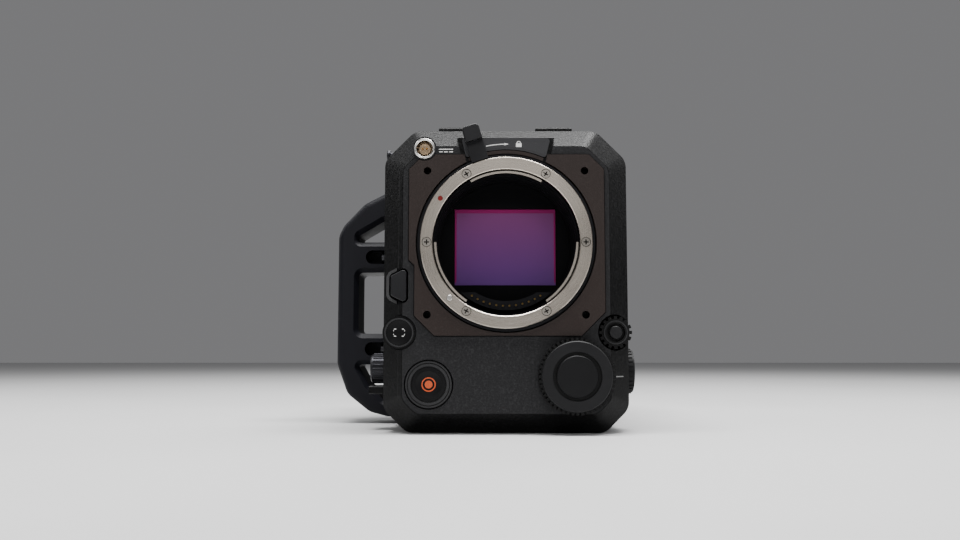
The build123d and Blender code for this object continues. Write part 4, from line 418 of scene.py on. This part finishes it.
frame_black = moulded("frame_black", (0.004, 0.004, 0.005), (0.008, 0.008, 0.009), rough=0.55)
cream = moulded("socket_cream", (0.26, 0.185, 0.115), (0.38, 0.28, 0.18), rough=0.42)
handle = satin_handle("handle_black", (0.0028, 0.0028, 0.0042), (0.0062, 0.0062, 0.0090))
ring = turned_ring(
    "ring_silver", (0.42, 0.37, 0.315), (0.70, 0.635, 0.555), rough=0.28, shade_from=RING_SUNK
)
lock_black = turned_ring(
    "lock_ring_black", (0.012, 0.012, 0.013), (0.026, 0.026, 0.028), rough=0.36,
    shade_from=LOCK_RING_SUNK,
)
steel = brushed("steel", (0.46, 0.45, 0.43), (0.66, 0.64, 0.61), rough=0.32)
screw_steel = brushed(
    "screw_steel", (0.34, 0.31, 0.275), (0.54, 0.50, 0.445), rough=0.30, shade_from=SCREW_SUNK
)
black_steel = brushed("black_steel", (0.035, 0.035, 0.038), (0.065, 0.065, 0.070), rough=0.38)
nickel = brushed(
    "nickel", (0.70, 0.69, 0.67), (0.82, 0.81, 0.78), rough=0.24, along=(1.0, 3.0, 1.0)
)
connector = brushed("connector_black", (0.014, 0.014, 0.016), (0.030, 0.030, 0.033), rough=0.42)
aluminium = brushed(
    "milled_aluminium", (0.30, 0.31, 0.32), (0.44, 0.45, 0.46), rough=0.38, along=(14.0, 14.0, 1.0)
)
pin_gold = brushed(
    "pin_gold", (0.26, 0.11, 0.020), (0.40, 0.19, 0.040), rough=0.34, along=(14.0, 1.0, 14.0)
)
# A darker copy of the gold, painted as shade for the contacts deep in the throat
contact_gold_shaded = brushed(
    "contact_gold_shaded", (0.070, 0.045, 0.015), (0.120, 0.080, 0.030), rough=0.40,
    along=(14.0, 1.0, 14.0),
)
trap_black = stepped_black("throat_black", (0.0015, 0.0015, 0.0020), (0.006, 0.006, 0.007))
filter_coat = coated_filter(
    "filter_purple", (0.112, 0.042, 0.200), (0.180, 0.045, 0.150), (0.23, 0.001, 0.088)
)
display = dark_glass("display_black", (0.004, 0.005, 0.008), (0.008, 0.009, 0.013))
board = circuit(
    "board_green", (0.006, 0.045, 0.018), (0.016, 0.100, 0.042), (0.55, 0.50, 0.38)
)
index_red = ink("index_red", (0.150, 0.003, 0.0015), rough=0.34)
orange = ink("mark_orange", (0.56, 0.075, 0.010), rough=0.45)
white = ink("mark_white", (0.72, 0.72, 0.70))
grey = ink("mark_grey", (0.20, 0.20, 0.20))
line_black = ink("line_black", (0.012, 0.012, 0.013))

worn_by = {
    name: finish
    for finish, names in (
        (casting, ("front_housing", "main_housing", "rear_plate", "top_plate", "base_plate")),
        (panel, ("right_panel", "left_panel")),
        (fascia, ("front_fascia",)),
        (label, ("label_plate",)),
        (plate, ("mount_plate",)),
        (ring, ("mount_ring",)),
        (lock_black, ("lock_ring",)),
        (screw_steel, ("mount_screws",)),
        (steel, ("lock_pin", "door_pin", "release_link", "release_spring")),
        (black_steel, ("handle_screws", "casing_screws")),
        (connector, ("tape_hook", "cable_socket")),
        (nickel, ("power_socket_shell", "video_sockets")),
        (cream, ("power_socket_insert",)),
        (contact_gold_shaded, ("contact_pins",)),
        (pin_gold, ("power_socket_pins",)),
        (index_red, ("index_dot",)),
        (handle, ("side_handle",)),
        (lever, ("lock_lever", "release_button")),
        (button_black, ("record_button", "grab_button")),
        (dial, ("main_dial",)),
        (small_dial, ("small_dial",)),
        (small_button, ("small_dial_button",)),
        (control, ("main_dial_button", "side_knob")),
        (record_ring, ("record_bezel",)),
        (grab_ring, ("grab_bezel",)),
        (trap_black, ("throat_baffle", "contact_block")),
        (filter_coat, ("filter_glass",)),
        (frame_black, ("filter_frame",)),
        (ceramic, ("sensor",)),
        (aluminium, ("sensor_carrier", "heat_sink", "card_cage")),
        (board, ("main_board", "power_board", "control_board", "display_board")),
        (display, ("display_glass",)),
        (panel_plastic, ("menu_button_1", "menu_button_2", "power_switch", "media_door",
                         "battery_plate")),
        (catch, ("battery_catch",)),
        (fan_plastic, ("fan_frame", "fan_rotor")),
    )
    for name in names
}
for name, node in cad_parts.items():
    node.data.materials.clear()
    node.data.materials.append(worn_by[name])


# The marks are drawn in millimetres for the front, from the x and z of their corners. A mark's
# depth is its back's place along y, and it stands out from there by its thickness.
PRINT = 0.05
EDGE_LINE = 0.03
FILLING = 0.18
DOT_FILLING = 0.13
ENGRAVING = 0.06


def put(name, data):
    """Puts a mesh, lamp or camera in the scene as an object."""
    made = bpy.data.objects.new(name, data)
    bpy.context.scene.collection.objects.link(made)
    return made


def put_shape(name, shape, material):
    """Puts a finished bmesh in the scene."""
    mesh = bpy.data.meshes.new(name)
    shape.to_mesh(mesh)
    shape.free()
    mesh.materials.append(material)
    return put(name, mesh)


def piece(name, shape, material, body):
    """Turns a finished bmesh into a piece that rides on a body."""
    bmesh.ops.recalc_face_normals(shape, faces=shape.faces)
    made = put_shape(name, shape, material)
    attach(made, body)


def spot(x, depth, z):
    """Place in metres of a point given in millimetres."""
    return Vector((x, depth, z)) * MM


def thicken(shape, others, thickness):
    """Gives the flat faces that are not among the others their thickness."""
    flat = [face for face in shape.faces if face not in others]
    out = bmesh.ops.extrude_face_region(shape, geom=flat)
    moved = [part for part in out["geom"] if isinstance(part, bmesh.types.BMVert)]
    bmesh.ops.translate(shape, verts=moved, vec=OUT * thickness * MM)


def add_patch(shape, points, thickness):
    """Flat mark on the given points."""
    others = set(shape.faces)
    shape.faces.new([shape.verts.new(point) for point in points])
    thicken(shape, others, thickness)


def add_polygon(shape, corners, depth, thickness=PRINT):
    add_patch(shape, [spot(x, depth, z) for x, z in corners], thickness)


def add_bar(shape, x0, z0, x1, z1, depth, thickness=PRINT):
    """Rectangular mark between two opposite corners."""
    add_polygon(shape, ((x0, z0), (x1, z0), (x1, z1), (x0, z1)), depth, thickness)


def add_disc(shape, centre, radius, depth, thickness, parts=40):
    others = set(shape.faces)
    facing = Matrix.Translation(spot(centre[0], depth, centre[1]))
    facing = facing @ Matrix.Rotation(pi / 2, 4, "X")
    bmesh.ops.create_circle(
        shape, cap_ends=True, segments=parts, radius=radius * MM, matrix=facing
    )
    thicken(shape, others, thickness)


def add_band(shape, centre, radius, width, start, end, depth, thickness=PRINT, parts=30):
    """Band spun about its centre from one angle to another, in degrees; radius at its middle."""
    others = set(shape.faces)
    middle = spot(centre[0], depth, centre[1])
    spoke = Vector((cos(radians(start)), 0, sin(radians(start)))) * MM
    ends = [
        shape.verts.new(middle + spoke * reach)
        for reach in (radius - width / 2, radius + width / 2)
    ]
    bmesh.ops.spin(
        shape, geom=[*ends, shape.edges.new(ends)], cent=middle, axis=OUT,
        angle=radians(end - start), steps=parts, use_merge=end - start == 360,
    )
    thicken(shape, others, thickness)


# Strokes of the plain numbers, in units of half their height
STROKES = {
    1: ((0, -1, 0, 1),),
    2: (
        (-0.5, 1, 0.5, 1), (0.5, 0, 0.5, 1), (-0.5, 0, 0.5, 0),
        (-0.5, -1, -0.5, 0), (-0.5, -1, 0.5, -1),
    ),
    3: ((-0.5, 1, 0.5, 1), (0.5, -1, 0.5, 1), (-0.5, 0, 0.5, 0), (-0.5, -1, 0.5, -1)),
}
PEN = 0.22
STROKE_STEP = 0.004


def add_number(shape, number, x, z, size, depth):
    """Plain number of straight strokes, each a hair in front of the one before."""
    for index, (x0, z0, x1, z1) in enumerate(STROKES[number]):
        add_bar(
            shape, x + x0 * size - PEN, z + z0 * size - PEN,
            x + x1 * size + PEN, z + z1 * size + PEN, depth - index * STROKE_STEP,
        )


def turned(shape, angle):
    """Turns marks drawn for the front to another side of the body."""
    bmesh.ops.transform(
        shape, matrix=Matrix.Rotation(radians(angle), 4, "Z"), verts=shape.verts
    )
    return shape


# Record mark: a filled dot in a ring, on the dished button
mark = bmesh.new()
add_disc(mark, RECORD, 1.75, -23.85, DOT_FILLING)
add_band(mark, RECORD, 2.95, 0.5, 0, 360, -23.9, FILLING, parts=72)
piece("record_mark", mark, orange, "record_button")

# Frame mark on the smaller round button: four corners of a picture frame
FRAME_CORNER = ((0.2, 0.2), (-1.2, 0.2), (-1.2, -0.2), (-0.2, -0.2), (-0.2, -1.0), (0.2, -1.0))
mark = bmesh.new()
for side in (-1, 1):
    for end in (-1, 1):
        corners = [
            (GRAB[0] + side * (2.5 + x), GRAB[1] + end * (1.6 + z)) for x, z in FRAME_CORNER
        ]
        add_polygon(mark, corners, -24.05, FILLING)
piece("frame_mark", mark, white, "grab_button")

# Curved arrow and closed lock on the label plate
LABEL_FACE = -24.1
ARROW_RADIUS = 45.4
ARROW_HEAD = ((88.4, 0.0), (90.9, 0.55), (90.9, -0.55))
LOCK_X, LOCK_Z = 4.6, 130.4
mark = bmesh.new()
add_band(mark, LENS, ARROW_RADIUS, 0.38, 90.6, 101.6, LABEL_FACE)
add_polygon(
    mark,
    [
        (
            LENS[0] + (ARROW_RADIUS + away) * cos(radians(turn)),
            LENS[1] + (ARROW_RADIUS + away) * sin(radians(turn)),
        )
        for turn, away in ARROW_HEAD
    ],
    LABEL_FACE,
)
add_bar(mark, LOCK_X, LOCK_Z, LOCK_X + 2.6, LOCK_Z + 1.7, LABEL_FACE)
add_band(mark, (LOCK_X + 1.3, LOCK_Z + 1.8), 0.8, 0.35, 0, 180, LABEL_FACE, parts=20)
piece("lock_mark", mark, white, "camera")

# Direct current mark beside the lens power socket: a line over three dashes
FASCIA_FACE = -24.7
SUPPLY_LEFT = -30.6
mark = bmesh.new()
add_bar(mark, SUPPLY_LEFT, 129.0, -24.2, 129.4, FASCIA_FACE)
for dash in range(3):
    left = SUPPLY_LEFT + dash * 2.35
    add_bar(mark, left, 127.8, left + 1.7, 128.2, FASCIA_FACE)
piece("supply_mark", mark, white, "camera")

# Index line beside the main dial, on the bevel, which falls back by 8.5 over a width of 9
BEVEL_START = 47.25
BEVEL_FACE = -23.22
mark = bmesh.new()
line = [
    spot(x, BEVEL_FACE + (x - BEVEL_START) * 8.5 / 9.0, z)
    for x, z in ((49.2, 25.5), (53.4, 25.5), (53.4, 26.0), (49.2, 26.0))
]
add_patch(mark, line, ENGRAVING)
piece("dial_index", mark, grey, "camera")

# Fine dark lines along the label plate's lower and upper edges
mark = bmesh.new()
add_band(mark, LENS, 43.9, 0.22, 67.6, 102.0, LABEL_FACE, EDGE_LINE, parts=60)
add_bar(mark, -7.5, 133.3, 18.6, 133.5, LABEL_FACE, EDGE_LINE)
piece("label_line", mark, line_black, "camera")

# Marks on the right panel: play, menu, power and the two card numbers
PANEL_FACE = -56.23
mark = bmesh.new()
add_polygon(mark, ((56.0, 46.2), (58.4, 47.5), (56.0, 48.8)), PANEL_FACE)
for row in (46.4, 47.4, 48.4):
    add_bar(mark, 79.6, row, 82.4, row + 0.35, PANEL_FACE)
add_band(mark, (81.0, 37.0), 1.5, 0.4, 125, 415, PANEL_FACE)
add_bar(mark, 80.8, 37.2, 81.2, 39.0, PANEL_FACE)
for number, z in ((1, 73.8), (2, 54.0)):
    add_number(mark, number, 137.0, z, 1.1, PANEL_FACE)
piece("panel_marks", turned(mark, 90), grey, "camera")

# Numbers of the video sockets on the rear plate
REAR_FACE = -149.78
mark = bmesh.new()
for number, z in ((1, 86.0), (2, 62.0), (3, 38.0)):
    add_number(mark, number, 49.0, z, 1.3, REAR_FACE)
piece("socket_numbers", turned(mark, 180), grey, "camera")


# Plain pale floor
FLOOR_HALF_WIDTH = 3.0
pale = Finish("floor", Specular_IOR_Level=0.4)
cloud = pale.noise(6.0, 2.0)
pale.paint("Base Color", pale.blend(cloud, (0.50, 0.50, 0.50), (0.53, 0.53, 0.53)))
pale.paint("Roughness", 0.42 + cloud * 0.1)
floor = bmesh.new()
bmesh.ops.create_grid(floor, x_segments=1, y_segments=1, size=FLOOR_HALF_WIDTH)
floor_object = put_shape("floor", floor, pale.material)

# Soft studio light: one lamp above, one at each side, a weak one in front and one behind.
# Each has its place, width and height in metres, and its power in watts.
AIM = Vector((0, 0.05, 0.07))
for name, place, width, height, power in (
    ("top_light", (0.03, -0.10, 0.85), 0.7, 0.22, 25.0),
    ("left_light", (-0.75, 0.30, 0.60), 0.3, 0.7, 3.0),
    ("right_light", (0.75, 0.30, 0.60), 0.3, 0.7, 2.6),
    ("front_light", (0.10, -1.05, 0.75), 0.8, 0.4, 5.5),
    ("rear_light", (0.15, 0.75, 0.95), 0.9, 0.5, 7.0),
):
    lamp = bpy.data.lights.new(name, "AREA")
    lamp.shape = "RECTANGLE"
    lamp.size = width
    lamp.size_y = height
    lamp.energy = power
    lamp_object = put(name, lamp)
    lamp_object.location = place
    lamp_object.rotation_euler = (AIM - Vector(place)).to_track_quat("-Z", "Y").to_euler()

SKY_COLOUR = (0.80, 0.80, 0.82, 1.0)
SKY_STRENGTH = 0.24
world = bpy.data.worlds.new("studio")
bpy.context.scene.world = world
world.use_nodes = True
sky = world.node_tree.nodes["Background"]
sky.inputs["Color"].default_value = SKY_COLOUR
sky.inputs["Strength"].default_value = SKY_STRENGTH

# Camera at the photograph's place, with the focal length that fits it in pixels
PHOTO_WIDTH = 960.0
FOCAL_LENGTH = 921.8
CAMERA_PLACE = (-0.0110, -0.4398, 0.0364)
CAMERA_TILT = 95.14
CAMERA_TURN = 0.12
camera_data = bpy.data.cameras.new("camera")
camera_data.sensor_width = 36.0
camera_data.lens = FOCAL_LENGTH / PHOTO_WIDTH * camera_data.sensor_width
camera_data.clip_start = 0.01
camera = put("camera", camera_data)
camera.location = CAMERA_PLACE
camera.rotation_euler = (radians(CAMERA_TILT), 0, radians(CAMERA_TURN))
bpy.context.scene.camera = camera
